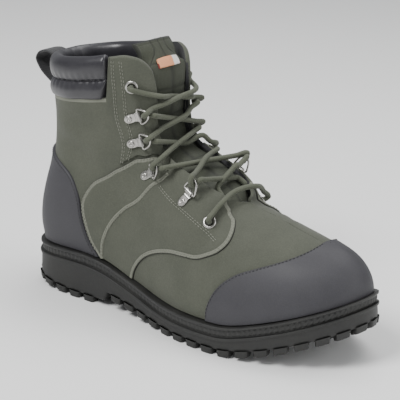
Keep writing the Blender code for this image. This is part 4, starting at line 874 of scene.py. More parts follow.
def border_distance(spots, cut):
    """Distance of each place of a grid to its cut borders, given as first and last row and column.

    It is the least distance to the points of the border, which is drawn six times as fine first.
    """
    best = np.full(spots.shape[:2], 1.0)
    borders = (spots[0], spots[-1], spots[:, 0], spots[:, -1])
    for line in (border for border, wanted in zip(borders, cut) if wanted):
        at = np.arange(6 * (len(line) - 1) + 1) / 6
        drawn = read_line(np.arange(len(line)), line, at)
        for row, places in enumerate(spots):
            reach = np.linalg.norm(places[:, None] - drawn, axis=-1).min(1)
            best[row] = np.minimum(best[row], reach)
    return best


EDGE_SINK = 0.0003  # how far a panel's edge and its back lie below the skin
BACK_SINK = 0.0007
GROOVE_WIDTH = 0.0005  # groove beside the folded band
GROOVE_DEPTH = 0.00022


def add_panel(name, side, t, v, thickness, cut, banded, finish, slot, stands_for):
    """Sewn panel over the grid of places, with its edges rounded and its bands marked."""
    spots = skin(side, t, v)
    edge, fold = border_distance(spots, cut), border_distance(spots, banded)
    height = -EDGE_SINK + (thickness + EDGE_SINK) * rounded(edge, 0.9 * thickness)
    height = height - GROOVE_DEPTH * np.exp(-(((fold - BAND) / GROOVE_WIDTH) ** 2))
    points, faces = two_faces(skin(side, t, v, height), skin(side, t, v, -BACK_SINK))
    marks = {"band": twice(fold), "shade": twice(0 * fold)}
    return add_mesh(name, points, faces, finish, slot, [stands_for], marks)


def ruled(start, end, across):
    """Grid of places (t, v) with straight lines from the first edge to the second."""
    return tuple(start[:, None, k] * (1 - across) + end[:, None, k] * across for k in (0, 1))


# %% [markdown]
# Toe cap and heel counter.
#
# They are smooth leather with a thin polyurethane coat, folded over the toughest places. The cap
# is ruled from its edge to the column of the toe's tip on each side, the counter from its edge to
# the column at the heel's back, and both halves are one grid.

# %% Toe cap and heel counter
w, half = spaced(70), spaced(60)
low_end = COVER_FOOT * 0.3
cap_line = {key: values[:-1] for key, values in CAP_EDGE.items()}
cap_edge = seam_line(cap_line, w)
cap_edge[-1, 1] = 1.0
tip = np.stack([np.full(len(w), 1.0), low_end + (1 - low_end) * w**0.8], -1)
heel = np.stack([np.zeros(len(w)), low_end + (COUNTER_EDGE["share"][0] - low_end) * w], -1)
COVERS = (
    ("toe_cap", cap_edge, tip),
    ("heel_counter", seam_line(COUNTER_EDGE, 1 - w), heel),
)
for name, edge, far in COVERS:
    t, v = ruled(edge, far, half)
    side = np.concatenate([np.full(t.shape, LATERAL), np.full(t[:, 1:].shape, MEDIAL)], 1)
    t, v = (np.concatenate([a, a[:, ::-1][:, 1:]], 1) for a in (t, v))
    coat = (COVER_GAP + CAP_WALL, (0, 0, 1, 1), (0, 0, 0, 0), FINISHES["coated"], "coated", name)
    add_panel(name + "_leather", side, t, v, *coat)

# %% [markdown]
# Facings, quarters and straps.
#
# They lie in layers, as they are sewn: the facing and the quarter first, then the strap over
# both. The strap's two edges and the quarter's front edge are folded, and rubbed lighter.

# %% Facings, quarters and straps
w, across = spaced(90), spaced(64)
foot_end = {"along": 0.4430, "share": 1.0}
foot_line = {key: np.append(values[::-1], foot_end[key]) for key, values in FACING_FOOT.items()}
QUARTER_LAP = 0.006  # how far the quarter runs on under the strap, in t
# Name, first and second edge, thickness, and which borders (first and last row, first and last
# column) are cut, and which of them are folded
PANELS = (
    ("facing", FACING_REAR, foot_line, 0.0015, (0, 1, 1, 0), (0, 0, 0, 0)),
    ("quarter", QUARTER_REAR, QUARTER_FRONT, 0.0015, (0, 1, 0, 1), (0, 0, 0, 1)),
    ("strap", STRAP_REAR, STRAP_FRONT, 0.0021, (0, 1, 1, 1), (0, 0, 1, 1)),
)
for name, first, second, thickness, cut, banded in PANELS:
    start, end = seam_line(first, w), seam_line(second, w)
    if name == "quarter":
        start[:, 0] -= QUARTER_LAP
    t, v = ruled(start, end, across)
    for side, word in SIDES:
        node = f"{name}_{word}"
        look = (thickness, cut, banded, FINISHES["nubuck"], "upper", node)
        add_panel(node + "_panel", side, t, v, *look)

# %% [markdown]
# Sewing.
#
# A machine stitch is a short, thick piece of thread that dips into the leather at both ends. One
# stitch is a small tube with its middle raised; a row of them follows a seam at a fixed distance.
# The distance is turned into a change of (t, v) through the slopes of the upper's function, so
# the row stays on the curved surface.

# %% Rows of stitches
def beside(side, t, v, distance):
    """Places moved sideways from a line on the upper by a distance, upward where it runs ahead."""
    step = 1e-3
    here = upper_point(side, t, v)
    per_t = (upper_point(side, t + step, v) - here) / step
    per_v = (upper_point(side, t, v + step) - here) / step
    way = np.cross(upper_normal(side, t, v), np.gradient(here, axis=0)) * -side
    way = distance * way / np.linalg.norm(way, axis=-1, keepdims=True)
    pairs = ((per_t, per_t), (per_t, per_v), (per_v, per_v))
    tt, tv, vv = (np.sum(a * b, axis=-1) for a, b in pairs)
    p, q = np.sum(per_t * way, axis=-1), np.sum(per_v * way, axis=-1)
    whole = tt * vv - tv * tv
    return t + (vv * p - tv * q) / whole, v + (tt * q - tv * p) / whole


def stitches(side, t, v, out, pitch=0.0028, length=0.0020, radius=0.00030):
    """Points and quads of a row of stitches along a line of places on the upper."""
    spots = skin(side, t, v, out)
    run = run_along(spots)
    middles = np.arange(pitch / 2, run[-1] - pitch / 2, pitch)
    at = np.array([-1.0, -0.6, 0.0, 0.6, 1.0])
    thick = np.array([0.30, 0.85, 1.0, 0.85, 0.30]) * radius
    raised = np.array([-0.6, 0.3, 0.7, 0.3, -0.6]) * radius
    reach = middles[:, None] + at * length / 2
    centre = read_line(run, spots, reach)
    normal = upper_normal(side, np.interp(reach, run, t), np.interp(reach, run, v))
    sideways = np.cross(normal, unit(centre[:, -1:] - centre[:, :1]))
    angle = np.arange(6) * np.pi / 3
    ring = np.cos(angle)[:, None] * sideways[:, :, None] + np.sin(angle)[:, None] * normal[:, :, None]
    points = (centre + raised[:, None] * normal)[:, :, None] + thick[:, None, None] * ring
    caps = np.array([[0, 1, 2, 3], [0, 3, 4, 5], [24, 27, 26, 25], [24, 29, 28, 27]])
    faces = np.concatenate([quads(len(at), 6, closed_cols=True), caps])
    first = np.arange(len(middles))[:, None, None] * len(at) * 6
    return points.reshape(-1, 3), (first + faces).reshape(-1, 4)


def seam_rows(table, distances, out, start=0.01, end=0.99):
    """Rows beside a seam on both sides of the boot."""
    parts = []
    for side in (LATERAL, MEDIAL):
        line = seam_line(table, np.linspace(start, end, 240))
        for distance in distances:
            t, v = beside(side, line[:, 0], line[:, 1], distance)
            parts.append(stitches(side, t, np.minimum(v, 0.995), out))
    return parts


QUARTER_DOTS = seam((0.4500, 0.625), (0.4941, 0.599), (0.5500, 0.585), (0.5863, 0.571), (0.6263, 0.530))
FACING_SECOND = seam((0.3078, 0.487), (0.3117, 0.566), (0.2929, 0.693), (0.2843, 0.826), (0.2708, 0.986))
# Seam, distances of its rows, their height over the skin, and where they start and end
LIGHT_ROWS = (
    (STRAP_REAR, (-0.0012, -0.0025), 0.0022, 0.05),
    (STRAP_FRONT, (0.0012, 0.0025), 0.0022, 0.02),
    (QUARTER_FRONT, (0.0012, 0.0026), 0.0016, 0.02, 0.93),
    (FACING_REAR, (-0.0013, -0.0029), 0.0016),
    (FACING_SECOND, (0.0, -0.0016), 0.0016),
    (QUARTER_DOTS, (0.0, 0.0016), 0.0016),
)
DARK_ROWS = (
    (cap_line, (-0.0016,), 0.0021, 0.02, 0.97),
    (COUNTER_EDGE, (-0.0016,), 0.0021),
)
light, dark = ([part for row in table for part in seam_rows(*row)] for table in (LIGHT_ROWS, DARK_ROWS))
add_mesh("light_stitching", *joined(light), FINISHES["thread"], "upper")
add_mesh("dark_stitching", *joined(dark), FINISHES["dark_thread"], "coated")

# %% [markdown]
# The padded collar.
#
# Two foam tubes under one glossy fabric, sewn down between them. The section is the same closed
# table as in the solid, read through a cubic so that it is round, and the fabric puckers a little
# along the seam between the rolls: a sine along the run that fades away from the seam.

# %% The collar
def closed_curve(values, count):
    """Round closed line through a table's values, read at even steps of its rows."""
    row, at = np.arange(-3, len(values) + 4), np.linspace(0, len(values), count, endpoint=False)
    return curve(row, np.take(values, row, mode="wrap"), at)


COLLAR_SEAM_AT = 0.48  # share of the collar's height where its two rolls meet
PUCKER, PUCKER_PITCH = 0.00030, 0.0062  # gathers beside the seam
SLACK, SLACK_PITCH = 0.00035, 0.031  # broad looseness of the fabric
END_ROUND = 0.0045  # length over which the collar's ends round off
share, out = (closed_curve(COLLAR_SECTION[key], 64) for key in ("share", "out"))
half = np.linspace(0, COLLAR_END, 120)
side = np.concatenate([np.full(len(half), LATERAL), np.full(len(half) - 1, MEDIAL)])[:, None]
t = np.concatenate([half[::-1], half[1:]])[:, None]
run = run_along(skin(side, t, 0.9)[:, 0])[:, None]
near_seam = np.exp(-(((share - COLLAR_SEAM_AT) / 0.16) ** 2)) * (out > -0.5 * COLLAR_PAD)
pucker = PUCKER * np.sin(run * 2 * np.pi / PUCKER_PITCH + 1.3 * np.sin(run * 90)) * near_seam
loose = SLACK * np.sin(run * 2 * np.pi / SLACK_PITCH + 4 * share)
rings = skin(side, t, COLLAR_FOOT + (1 - COLLAR_FOOT) * share, out + pucker + loose)
to_end = np.minimum(run, run[-1] - run)[..., None]
middle = rings.mean(axis=1, keepdims=True)
rings = middle + (rings - middle) * np.maximum(rounded(to_end, END_ROUND), 0.05)
collar = add_mesh("padded_collar", *tube_of(rings), FINISHES["collar"], "collar", ["collar"])

# %% [markdown]
# The tongue.
#
# It is padded nylon, quilted in boxes. The face comes from the solid's own rows, refined by a
# cubic both ways. Each quilting seam presses a groove into the pad: -depth * exp(-(d / width)^2).
# The sides are bound with a darker tape.

# %% The tongue
def face_samples(side):
    """Fine grid of the upper's outer face with its normals, for finding the nearest place."""
    t, v = np.meshgrid(np.linspace(0.15, 0.9, 260), np.linspace(0.4, 1, 60), indexing="ij")
    return upper_point(side, t, v).reshape(-1, 3), upper_normal(side, t, v).reshape(-1, 3)


def walk_under(samples, start, ahead, inward, depth):
    """Walk back from the throat's edge over the facing, and give three places below it."""
    faces, normals = samples
    place, stops = start, []
    steps = 8
    for k in range(steps + 1):
        near = nearest(faces, place)
        normal = normals[near]
        place = place - ((place - faces[near]) @ normal) * normal
        if k % (steps // 2) == 0:
            stops.append(place - depth * normal)
        away = np.cross(normal, ahead)
        inward = away * np.sign(away @ inward) / np.linalg.norm(away)
        place = place + inward * TONGUE_LAP / steps
    return stops


def tongue_face(crown):
    """Grid of the tongue's outer face: rows from its free top to its root under the vamp."""
    spread = np.array([-1.0, -0.6, -0.25, 0.0, 0.25, 0.6, 1.0])
    rows = []
    for height, front, half in zip(TONGUE_TOP["height"], TONGUE_TOP["front"], TONGUE_TOP["half"]):
        bow = TONGUE_BOW * spread**2
        rows.append(np.column_stack([front - bow, half * spread, height - 0.4 * bow]))
    samples = {side: face_samples(side) for side in (LATERAL, MEDIAL)}
    for t, clear in zip(turn(TONGUE_ROWS["along"]), TONGUE_ROWS["clear"]):
        depth = WALL + clear
        edges = {side: upper_point(side, t, 1.0) for side in (LATERAL, MEDIAL)}
        under = {}
        for side in (LATERAL, MEDIAL):
            ahead = upper_point(side, t + 2e-3, 1.0) - upper_point(side, t - 2e-3, 1.0)
            inward = upper_point(side, t, 0.95) - edges[side]
            under[side] = walk_under(samples[side], edges[side], ahead, inward, depth)
        front = unit(upper_normal(LATERAL, t, 1.0) + upper_normal(MEDIAL, t, 1.0))
        between = np.linalg.norm(edges[LATERAL] - edges[MEDIAL]) / THROAT_GAP
        middle = (under[LATERAL][0] + under[MEDIAL][0]) / 2 + crown * min(between, 1.0) * front
        rows.append(np.array(under[LATERAL][::-1] + [middle] + under[MEDIAL]))
    for front, half, height in zip(TONGUE_ROOT["front"], TONGUE_ROOT["half"], TONGUE_ROOT["height"]):
        row = (front + 0 * spread, RIDGE_SHIFT + half * spread, height - TONGUE_DROOP * spread**2)
        rows.append(np.column_stack(row))
    return np.array(rows)


def lie_over(samples, point, height):
    """Move a point along the nearest normal until it stands the height over a sampled face."""
    faces, normals = samples
    near = nearest(faces, point)
    return point + (height - (point - faces[near]) @ normals[near]) * normals[near]


def refine(face, rows, cols):
    """Grid read through a cubic along its rows and then across."""
    row, col = np.arange(face.shape[0]), np.arange(face.shape[1])
    at_row, at_col = np.linspace(0, row[-1], rows), np.linspace(0, col[-1], cols)
    tall = np.stack([[curve(row, face[:, c, a], at_row) for a in range(3)] for c in col], -1)
    return np.stack([[curve(col, tall[a, r], at_col) for r in range(rows)] for a in range(3)], -1)


def grid_normals(face):
    """Unit normals of a grid, turned to the front of the boot."""
    normal = np.cross(np.gradient(face, axis=1), np.gradient(face, axis=0))
    return unit(normal * np.where(normal @ np.array([1.0, 0.0, 0.4]) < 0, -1.0, 1.0)[..., None])


QUILT_ACROSS = (-0.46, 0.0, 0.46)  # places of the long seams, from side to side
QUILT_DOWN = 0.021  # pitch of the cross seams
SEAM_WIDTH, SEAM_DEPTH = 0.0007, 0.0006
TAPE_GROOVE = 0.0004  # depth of the step where the binding tape ends
COLS = 90
face = refine(tongue_face(TONGUE_CROWN), 170, COLS)
normal = grid_normals(face)
step = np.linalg.norm(np.diff(face, axis=0), axis=-1)
down = np.concatenate([np.zeros((1, COLS)), np.cumsum(step, axis=0)])
middle_down = down[:, COLS // 2 : COLS // 2 + 1]
across = np.linspace(-1, 1, COLS)
groove = np.zeros(down.shape)
for place in QUILT_ACROSS:
    groove += np.exp(-(((across - place) * 0.019 / SEAM_WIDTH) ** 2))
for k in range(5):
    groove += np.exp(-(((middle_down - QUILT_DOWN - QUILT_DOWN * k) / SEAM_WIDTH) ** 2))
edge = border_distance(face, (1, 1, 1, 1))
pad = 0.5 * TONGUE_PAD * rounded(edge, 0.5 * TONGUE_PAD)
front = -0.5 * TONGUE_PAD + pad - SEAM_DEPTH * np.minimum(groove, 1.0) - 0.0002
front = front - TAPE_GROOVE * np.exp(-(((edge - BAND) / GROOVE_WIDTH) ** 2))
back = -0.5 * TONGUE_PAD - pad + SEAM_DEPTH * np.minimum(groove, 1.2)
points, faces = two_faces(*(HEEL + face + depth[..., None] * normal for depth in (front, back)))
# The quilting grooves are darkened with painted shade through the "shade" value.
marks = {"band": twice(edge + 0.0011), "shade": twice(0.6 * np.minimum(groove, 1))}
tongue = add_mesh("quilted_tongue", points, faces, FINISHES["tongue"], "tongue", ["tongue"], marks)

# %% [markdown]
# The tab on the tongue.
#
# A small woven tab is sewn across the tongue near its top. It is blank: a warm field, a pale end
# and a dark red edge, without a word on it.

# %% The tab
TAB_FINISHES = (
    ("woven_tab_field", (0.62, 0.25, 0.12), (0.72, 0.34, 0.18)),
    ("woven_tab_end", (0.62, 0.60, 0.56), (0.72, 0.70, 0.66)),
    ("woven_tab_edge", (0.16, 0.022, 0.02), (0.22, 0.035, 0.03)),
)
TAB_SEAT = 0.0006  # how far the tab's back is pressed into the tongue
over_tongue = (face.reshape(-1, 3), normal.reshape(-1, 3))
middle = np.array([SHAFT_FRONT, 0.0, TAB_PLACE * FACING_HEIGHT])
rows = np.array([
    [lie_over(over_tongue, middle + (0.0, y, z), 0.0004) for y in np.linspace(-0.5, 0.5, 50) * TAB_WIDTH]
    for z in np.linspace(0.5, -0.5, 24) * TAB_HEIGHT
])
normal_tab = grid_normals(rows)
edge = border_distance(rows, (1, 1, 1, 1))
front = HEEL + rows + (TAB_THICKNESS * rounded(edge, 0.0006))[..., None] * normal_tab
points, faces = two_faces(front, HEEL + rows - TAB_SEAT * normal_tab)
field, *others = (finish(name, colour, tone, 0.8, 1800, 0.00006) for name, colour, tone in TAB_FINISHES)
tab = add_mesh("woven_tab", points, faces, field, "tab", ["tongue_tab"])
for other in others:
    tab.data.materials.append(other)
centres = polygon_values(tab, "center") - HEEL
aside, up = centres[:, 1], centres[:, 2] - centres[:, 2].mean()
index = np.where(aside > 0.18 * TAB_WIDTH, 1, 0)
index = np.where((np.abs(up) > 0.37 * TAB_HEIGHT) | (np.abs(aside) > 0.46 * TAB_WIDTH), 2, index)
tab.data.polygons.foreach_set("material_index", index.astype(np.int32))

# %% [markdown]
# The pull loop.
#
# A strip of black webbing, sewn to the collar at both ends and bent back into a loop. Its section
# is a flat rounded box, carried along the loop's line; fine ribs run across it.

# %% The pull loop
def flat_section(half_wide, half_thick, corners=24):
    """Rounded flat box as across and over: a circle raised to the power of a third."""
    angle = ring_angles(corners)
    box = [np.sign(f) * np.abs(f) ** 0.35 for f in (np.cos(angle), np.sin(angle))]
    return np.stack([half_wide * box[0], half_thick * box[1]], -1)


LOOP_STEP = 0.0005
RIB_HEIGHT, RIB_PITCH = 0.10, 0.0021
ends = []
for row in (7, 1):  # rows of the collar's section that the loop is sewn to
    v = COLLAR_FOOT + (1 - COLLAR_FOOT) * COLLAR_SECTION["share"][row]
    ends.append(upper_point(LATERAL, 0.0, v, out=np.float64(COLLAR_SECTION["out"][row] + 2 * GAP)))
start, end = ends
line = start + LOOP["down"][:, None] * (end - start)
line[:, 0] -= LOOP["reach"] * LOOP_REACH
inward = np.array([0.0035, 0.0, 0.0])
line = np.concatenate([[line[0] + inward], line, [line[-1] + inward]])
line[:, 1] = 0
path = HEEL + smooth_path(line, LOOP_STEP)
path = path + 0.5 * LOOP_THICKNESS * np.cross(unit(np.gradient(path, axis=0)), (0.0, 1.0, 0.0))
ribs = 1 + RIB_HEIGHT * np.sin(np.arange(len(path)) * LOOP_STEP * 2 * np.pi / RIB_PITCH)
section = flat_section(0.5 * LOOP_WIDTH, 0.5 * LOOP_THICKNESS)
sections = np.stack([np.broadcast_to(section[:, 0], (len(path), 24)), ribs[:, None] * section[:, 1]], -1)
loop = tube_of(along_path(path, sections, (0.0, 1.0, 0.0)))
add_mesh("webbing_loop", *loop, FINISHES["webbing"], "webbing", ["pull_loop"])

# %% [markdown]
# The sole.
#
# The outsole is one block of black rubber: a side wall with a lip on top, star lugs over the
# tread and blocks round its edge. The wall is a ring of profile rows carried round the outline.
# A lug is a pile of rings that narrow to its tip; the star's outline is
# r = waist + (reach - waist) * ((1 + cos 3a) / 2)^1.5.

# %% The outsole
def round_sole(t, inset, height):
    """Closed ring round the sole, its inset and height read at every place."""
    side, t = loop_of(t)
    plan = sole_edge(side, t, np.broadcast_to(inset, side.shape)[:, None] if np.ndim(inset) else inset)
    return np.column_stack([plan, height(plan[:, 0])])


def layer(rings):
    """Points and quads of closed rings, with strips from side to side as the end faces."""
    count = len(rings[0])
    places = count // 2 + 1
    faces = quads(len(rings), count, closed_cols=True)
    i = np.arange(places - 1)
    strip = np.stack([i, i + 1, (count - i - 1) % count, (count - i) % count], -1)
    ends = [faces, strip, strip[:, ::-1] + (len(rings) - 1) * count]
    return np.concatenate(rings), np.concatenate(ends)


slope = turn(np.array([BREAST, BREAST + BREAST_SLOPE]) / SOLE_LENGTH)
t = np.unique(np.concatenate([np.linspace(0, 1, 260), slope]))
# Rows of the side wall, each with its inset and its height over the sole's bottom or its top
WALL_ROWS = (
    (0.0030, sole_bottom, 0.0), (0.0014, sole_bottom, 0.0003), (0.0008, sole_bottom, 0.0012),
    (0.0007, sole_bottom, 0.0030), (LIP_STEP + 0.0002, sole_top, -LIP_HEIGHT - 0.0010),
    (LIP_STEP, sole_top, -LIP_HEIGHT), (0.0002, sole_top, -LIP_HEIGHT * 0.92),
    (0.0000, sole_top, -LIP_HEIGHT * 0.70), (0.0000, sole_top, -LIP_HEIGHT * 0.30),
    (0.0003, sole_top, -LIP_HEIGHT * 0.08), (0.0010, sole_top, 0.0),
)
rings = [round_sole(t, inset, lambda x: face(x) + over) + HEEL for inset, face, over in WALL_ROWS]
body = layer(rings)
# Rings of a lug: share of its height and share of its outline
LUG_PILE = ((0.0, 1.10), (0.30, 1.04), (0.80, 1.0), (0.95, 0.965), (1.0, 0.90), (1.0, 0.5), (1.0, 0.02))


def lugs(centres, ways, outline):
    """Piles of rings on the sole, from the lugs' centres, the ways they are turned, and one outline."""
    rings = []
    turned = outline[:, :1] * ways[:, None] + outline[:, 1:] * ways[:, None, ::-1] * (-1, 1)
    for rise, scale in LUG_PILE:
        plan = centres[:, None] + scale * turned
        level = sole_bottom(plan[..., 0]) + LUG_ROOT - (LUG_DEPTH + LUG_ROOT) * rise
        rings.append(np.concatenate([plan, level[..., None]], -1))
    rings = np.stack(rings, 1)
    count, rows, cols = rings.shape[:3]
    faces = np.arange(count)[:, None, None] * rows * cols + quads(rows, cols, closed_cols=True)
    return rings.reshape(-1, 3) + HEEL, faces.reshape(-1, 4)


angle = ring_angles(36)
reach = LUG_REACH * (0.42 + 0.58 * ((1 + np.cos(3 * angle)) / 2) ** 1.5)
star = np.stack([reach * np.cos(angle), reach * np.sin(angle)], -1)
centres, ways = [], []
for r in range(-10, 11):
    for c in range(13):
        x, y = (c + 0.5 * (r % 2)) * LUG_PITCH + LUG_START[0], r * LUG_PITCH * 0.5 + LUG_START[1]
        low_y, high_y = (sole_edge(s, turn(np.array([x / SOLE_LENGTH])))[0, 1] for s in (LATERAL, MEDIAL))
        inside = low_y + LUG_MARGIN < y < high_y - LUG_MARGIN
        inside = inside and LUG_MARGIN < x < SOLE_LENGTH - LUG_MARGIN
        if inside and abs(x - BREAST - BREAST_SLOPE / 2) >= LUG_REACH:
            centres.append((x, y))
            ways.append((1.0 if (r + c) % 2 else -1.0, 0.0))
stars = lugs(np.array(centres), np.array(ways), star)
print("star lugs:", len(centres))
ring = sole_edge(*loop_of(np.linspace(0, 1, 500)))
run = run_along(ring)
count = int(run[-1] / EDGE_PITCH)
middles = (np.arange(count) + 0.5) * run[-1] / count
at = read_line(run, ring, middles)
ways = unit(read_line(run, ring, middles + 0.002) - at)
inward = np.stack([ways[:, 1], -ways[:, 0]], -1) * LATERAL
inward = inward * np.where(np.sum(inward * (at - (0.15, 0.0)), axis=1) > 0, -1.0, 1.0)[:, None]
keep = np.abs(at[:, 0] - BREAST - BREAST_SLOPE / 2) >= 0.4 * EDGE_PITCH
box = flat_section(0.5 * EDGE_SHARE * EDGE_PITCH / 1.06, 0.5 * (EDGE_DEPTH + EDGE_PROUD) / 1.06, 28)
blocks = lugs((at + inward * (0.5 * (EDGE_DEPTH - EDGE_PROUD) + 0.0004))[keep], ways[keep], box)
sole = joined([body, stars, blocks])
add_mesh("rubber_outsole", *sole, FINISHES["rubber"], "rubber", ["outsole"], flat_over=50)

# %% [markdown]
# The welt.
#
# A band of rubber runs round the boot between upper and outsole, with a thin lip on top and a
# recessed side that is ribbed like a row of stitches. The ribs are a sine along the run.

# %% The welt
WELT_RIB, WELT_PITCH = 0.00055, 0.0042
t = np.linspace(0, 1, 560)
run = run_along(sole_edge(*loop_of(t)))
rib = WELT_RIB * np.clip(np.sin(run * 2 * np.pi / WELT_PITCH) + 0.35, 0, 1)
# Rows of the band: inset, share of the welt's height, and how far the ribs show
WELT_ROWS = (
    (WELT_ROUND, 0.00, 0.0), (WELT_GROOVE, 0.06, 0.0), (WELT_GROOVE, 0.14, 0.4), (WELT_GROOVE, 0.24, 1.0),
    (WELT_GROOVE, 0.36, 1.0), (WELT_GROOVE, 0.48, 1.0), (WELT_GROOVE, 0.58, 0.4), (WELT_GROOVE, 0.66, 0.0),
    (1.1 * WELT_ROUND, 0.70, 0.0), (0.65 * WELT_ROUND, 0.74, 0.0), (0.6 * WELT_ROUND, 0.82, 0.0),
    (0.65 * WELT_ROUND, 0.92, 0.0), (1.4 * WELT_ROUND, 0.98, 0.0), (2.4 * WELT_ROUND, 1.00, 0.0),
)
rings = [
    HEEL + round_sole(t, inset - ribbed * rib, lambda x: sole_top(x) + GAP + WELT_HEIGHT * share)
    for inset, share, ribbed in WELT_ROWS
]
add_mesh("welt_band", *layer(rings), FINISHES["welt"], "welt", ["welt"], flat_over=55)
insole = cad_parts["insole"].data.materials
insole.clear()
insole.append(FINISHES["lining"])

# %% [markdown]
# The lacing hardware.
#
# Eyelets are rolled rings pressed through the facing. Each of the four clips a side is a plate
# with a round rivet, folded round the bar of a D-shaped wire ring. Rivets and eyelets are turned
# on a lathe: a closed profile of radius and height, swept once round.

# %% Eyelets, clips and rings
def seat(side, along, v, aim, out):
    """Frame of a fitting on the upper: its place, the way it points, across, and outward."""
    t = turn(along)
    normal = upper_normal(side, t, v)
    place = upper_point(side, t, v) + out * normal
    way = np.array([math.cos(math.radians(aim)), 0.0, math.sin(math.radians(aim))])
    way = unit(way - (way @ normal) * normal)
    return place, way, np.cross(normal, way), normal


@functools.lru_cache(maxsize=None)
def clip_seat(side, k):
    """Frame of the clip k of one side, raised over the highest place of the panel under it."""
    place, way, across, normal = seat(side, *(CLIPS[key][k] for key in ("along", "share", "aim")), 0.0)
    away = face_samples(side)[0] - place
    ahead, beside_it, height = away @ way, away @ across, away @ normal
    under = (ahead > -CLIP_TAIL) & (ahead < CLIP_LENGTH) & (np.abs(beside_it) < CLIP_WIDTH / 2)
    under &= np.abs(height) < CLIP_WIDTH
    out = COVER_GAP + OVERLAY + CLIP_LIFT + np.max(height[under])
    return place + out * normal, way, across, normal


def ring_frame(side, k):
    """Middle of the ring's bar, the way the ring lies, across, and outward from its plane."""
    place, way, across, normal = clip_seat(side, k)
    bar = place + CLIP_LENGTH * way + (CLIP_THICKNESS + RING_WIRE / 2 + GAP) * normal
    lie = math.cos(RING_TILT) * way + math.sin(RING_TILT) * normal
    return bar, lie, across, np.cross(lie, across)


def lathe(place, way, across, normal, profile, count=28):
    """Points and quads of a closed profile of (radius, height) swept round the normal."""
    angle = ring_angles(count)[:, None, None]
    radius, height = profile[:, 0, None], profile[:, 1, None]
    rings = place + radius * (np.cos(angle) * way + np.sin(angle) * across) + height * normal
    return rings.reshape(-1, 3), quads(count, len(profile), closed_rows=True, closed_cols=True)


def rolled_rim(inner, outer, height, depth):
    """Closed profile of an eyelet: a rolled flange on top and a barrel going in."""
    angle = np.linspace(0, np.pi, 9)
    middle, half = (inner + outer) / 2, (outer - inner) / 2
    roll = np.stack([middle + half * np.cos(angle), height * np.sin(angle)], -1)
    barrel = np.array([(inner, -depth), (inner + 0.0004, -depth), (inner + 0.0005, 0.0)])
    return np.concatenate([roll, barrel])


ON_PANEL, ON_SHELL = 0.0016, 0.0002  # heights of an eyelet's flange over the skin
# Radius and height of the dark disc inside an eyelet
WELL = np.array([(0.0, 0.0001), (EYELET_HOLE, 0.0001), (EYELET_HOLE, -0.0003), (0.0, -0.0003)])
rim = rolled_rim(EYELET_HOLE - 0.0001, EYELET_RADIUS, 0.0012, 0.0012)
holes = [
    (f"eyelet_{name}_{word}", side, place, ON_PANEL)
    for side, word in SIDES
    for place, name in ((TOP_EYELET, "top"), (LOW_EYELET, "low"))
]
for k, name in enumerate(("drain_rear", "drain_front")):
    place = (DRAINS["along"][k], DRAINS["share"][k])
    holes.append((name, MEDIAL, place, ON_PANEL if DRAINS["under"][k] else ON_SHELL))
wells = []
for name, side, place, out in holes:
    place, *axes = seat(side, *place, 0.0, out)
    add_mesh(name + "_ring", *lathe(HEEL + place, *axes, rim), FINISHES["steel"], "metal", [name])
    wells.append(lathe(HEEL + place, *axes, WELL))
add_mesh("eyelet_wells", *joined(wells), FINISHES["lining"], "lining")


NECK, NECK_LENGTH = 0.13, 0.0012  # how much and how far the plate narrows before its fold
RIB_PLACES = (0.0044, 0.0080)  # where the grooves across the plate begin and end
# Radius and height of the rivet's profile
DOME = np.array([
    (0.0006, 0.0009), (0.0009, 0.0014), (0.0016, 0.0018), (0.0024, 0.0015), (0.0027, 0.0009),
    (0.0027, 0.0002), (0.0006, 0.0002),
])


def clip_parts(side, k):
    """Plate, folded loop, grooves and rivet of one clip."""
    place, way, across, normal = clip_seat(side, k)
    place = HEEL + place
    hold = RING_WIRE / 2 + 0.0002 + CLIP_THICKNESS / 2
    bar = CLIP_THICKNESS / 2 + hold
    flat = np.linspace(-CLIP_TAIL, CLIP_LENGTH, 46)
    angle = np.radians(np.linspace(-84, 188, 22))
    run = np.concatenate([flat, CLIP_LENGTH + hold * np.cos(angle)])
    fold = CLIP_THICKNESS / 2 + bar - CLIP_THICKNESS / 2 + hold * np.sin(angle)
    rise = np.concatenate([0 * flat + CLIP_THICKNESS / 2, fold])
    path = place + run[:, None] * way + rise[:, None] * normal
    low = rise < 0.001
    round_tail = np.sqrt(np.clip(1 - (np.clip(-run, 0, CLIP_TAIL * 0.999) / CLIP_TAIL) ** 2, 0.02, 1))
    neck = 1 - NECK * np.exp(-(((run - 0.5 * CLIP_LENGTH) / NECK_LENGTH) ** 2)) * low
    wide = CLIP_WIDTH / 2 * round_tail * np.where(run > 0.004, 1.06, 1.0) * neck
    ribbed = (run > RIB_PLACES[0]) & (run < RIB_PLACES[1]) & low
    ribs = 1 + 0.5 * np.clip(np.cos((run - 0.0052) * 2 * np.pi / 0.0017), 0, 1) * ribbed
    section = flat_section(1.0, 1.0, 20)
    over = CLIP_THICKNESS / 2 * ribs[:, None] * section[:, 1]
    sections = np.stack([wide[:, None] * section[:, 0], over], -1)
    plate = tube_of(along_path(path, sections, across))
    return [plate, lathe(place, way, across, normal, DOME, 22)]


def ring_wire(side, k, rows=72, cols=12):
    """Wire of one D-ring as a closed tube."""
    bar, lie, across, up = ring_frame(side, k)
    wide, reach = (closed_curve(RING_SHAPE[key], rows) for key in ("across", "reach"))
    on_bar = np.linspace(0, len(RING_SHAPE["reach"]), rows, endpoint=False) < 1
    reach = np.where(on_bar, 0.0, np.maximum(reach, 0.0))
    path = HEEL + bar + wide[:, None] * across + reach[:, None] * lie
    aside = np.cross(unit(np.roll(path, -1, 0) - np.roll(path, 1, 0)), up)
    angle = ring_angles(cols)[:, None]
    rings = path[:, None] + RING_WIRE / 2 * (np.cos(angle) * aside[:, None] + np.sin(angle) * up)
    return rings.reshape(-1, 3), quads(rows, cols, closed_rows=True, closed_cols=True)


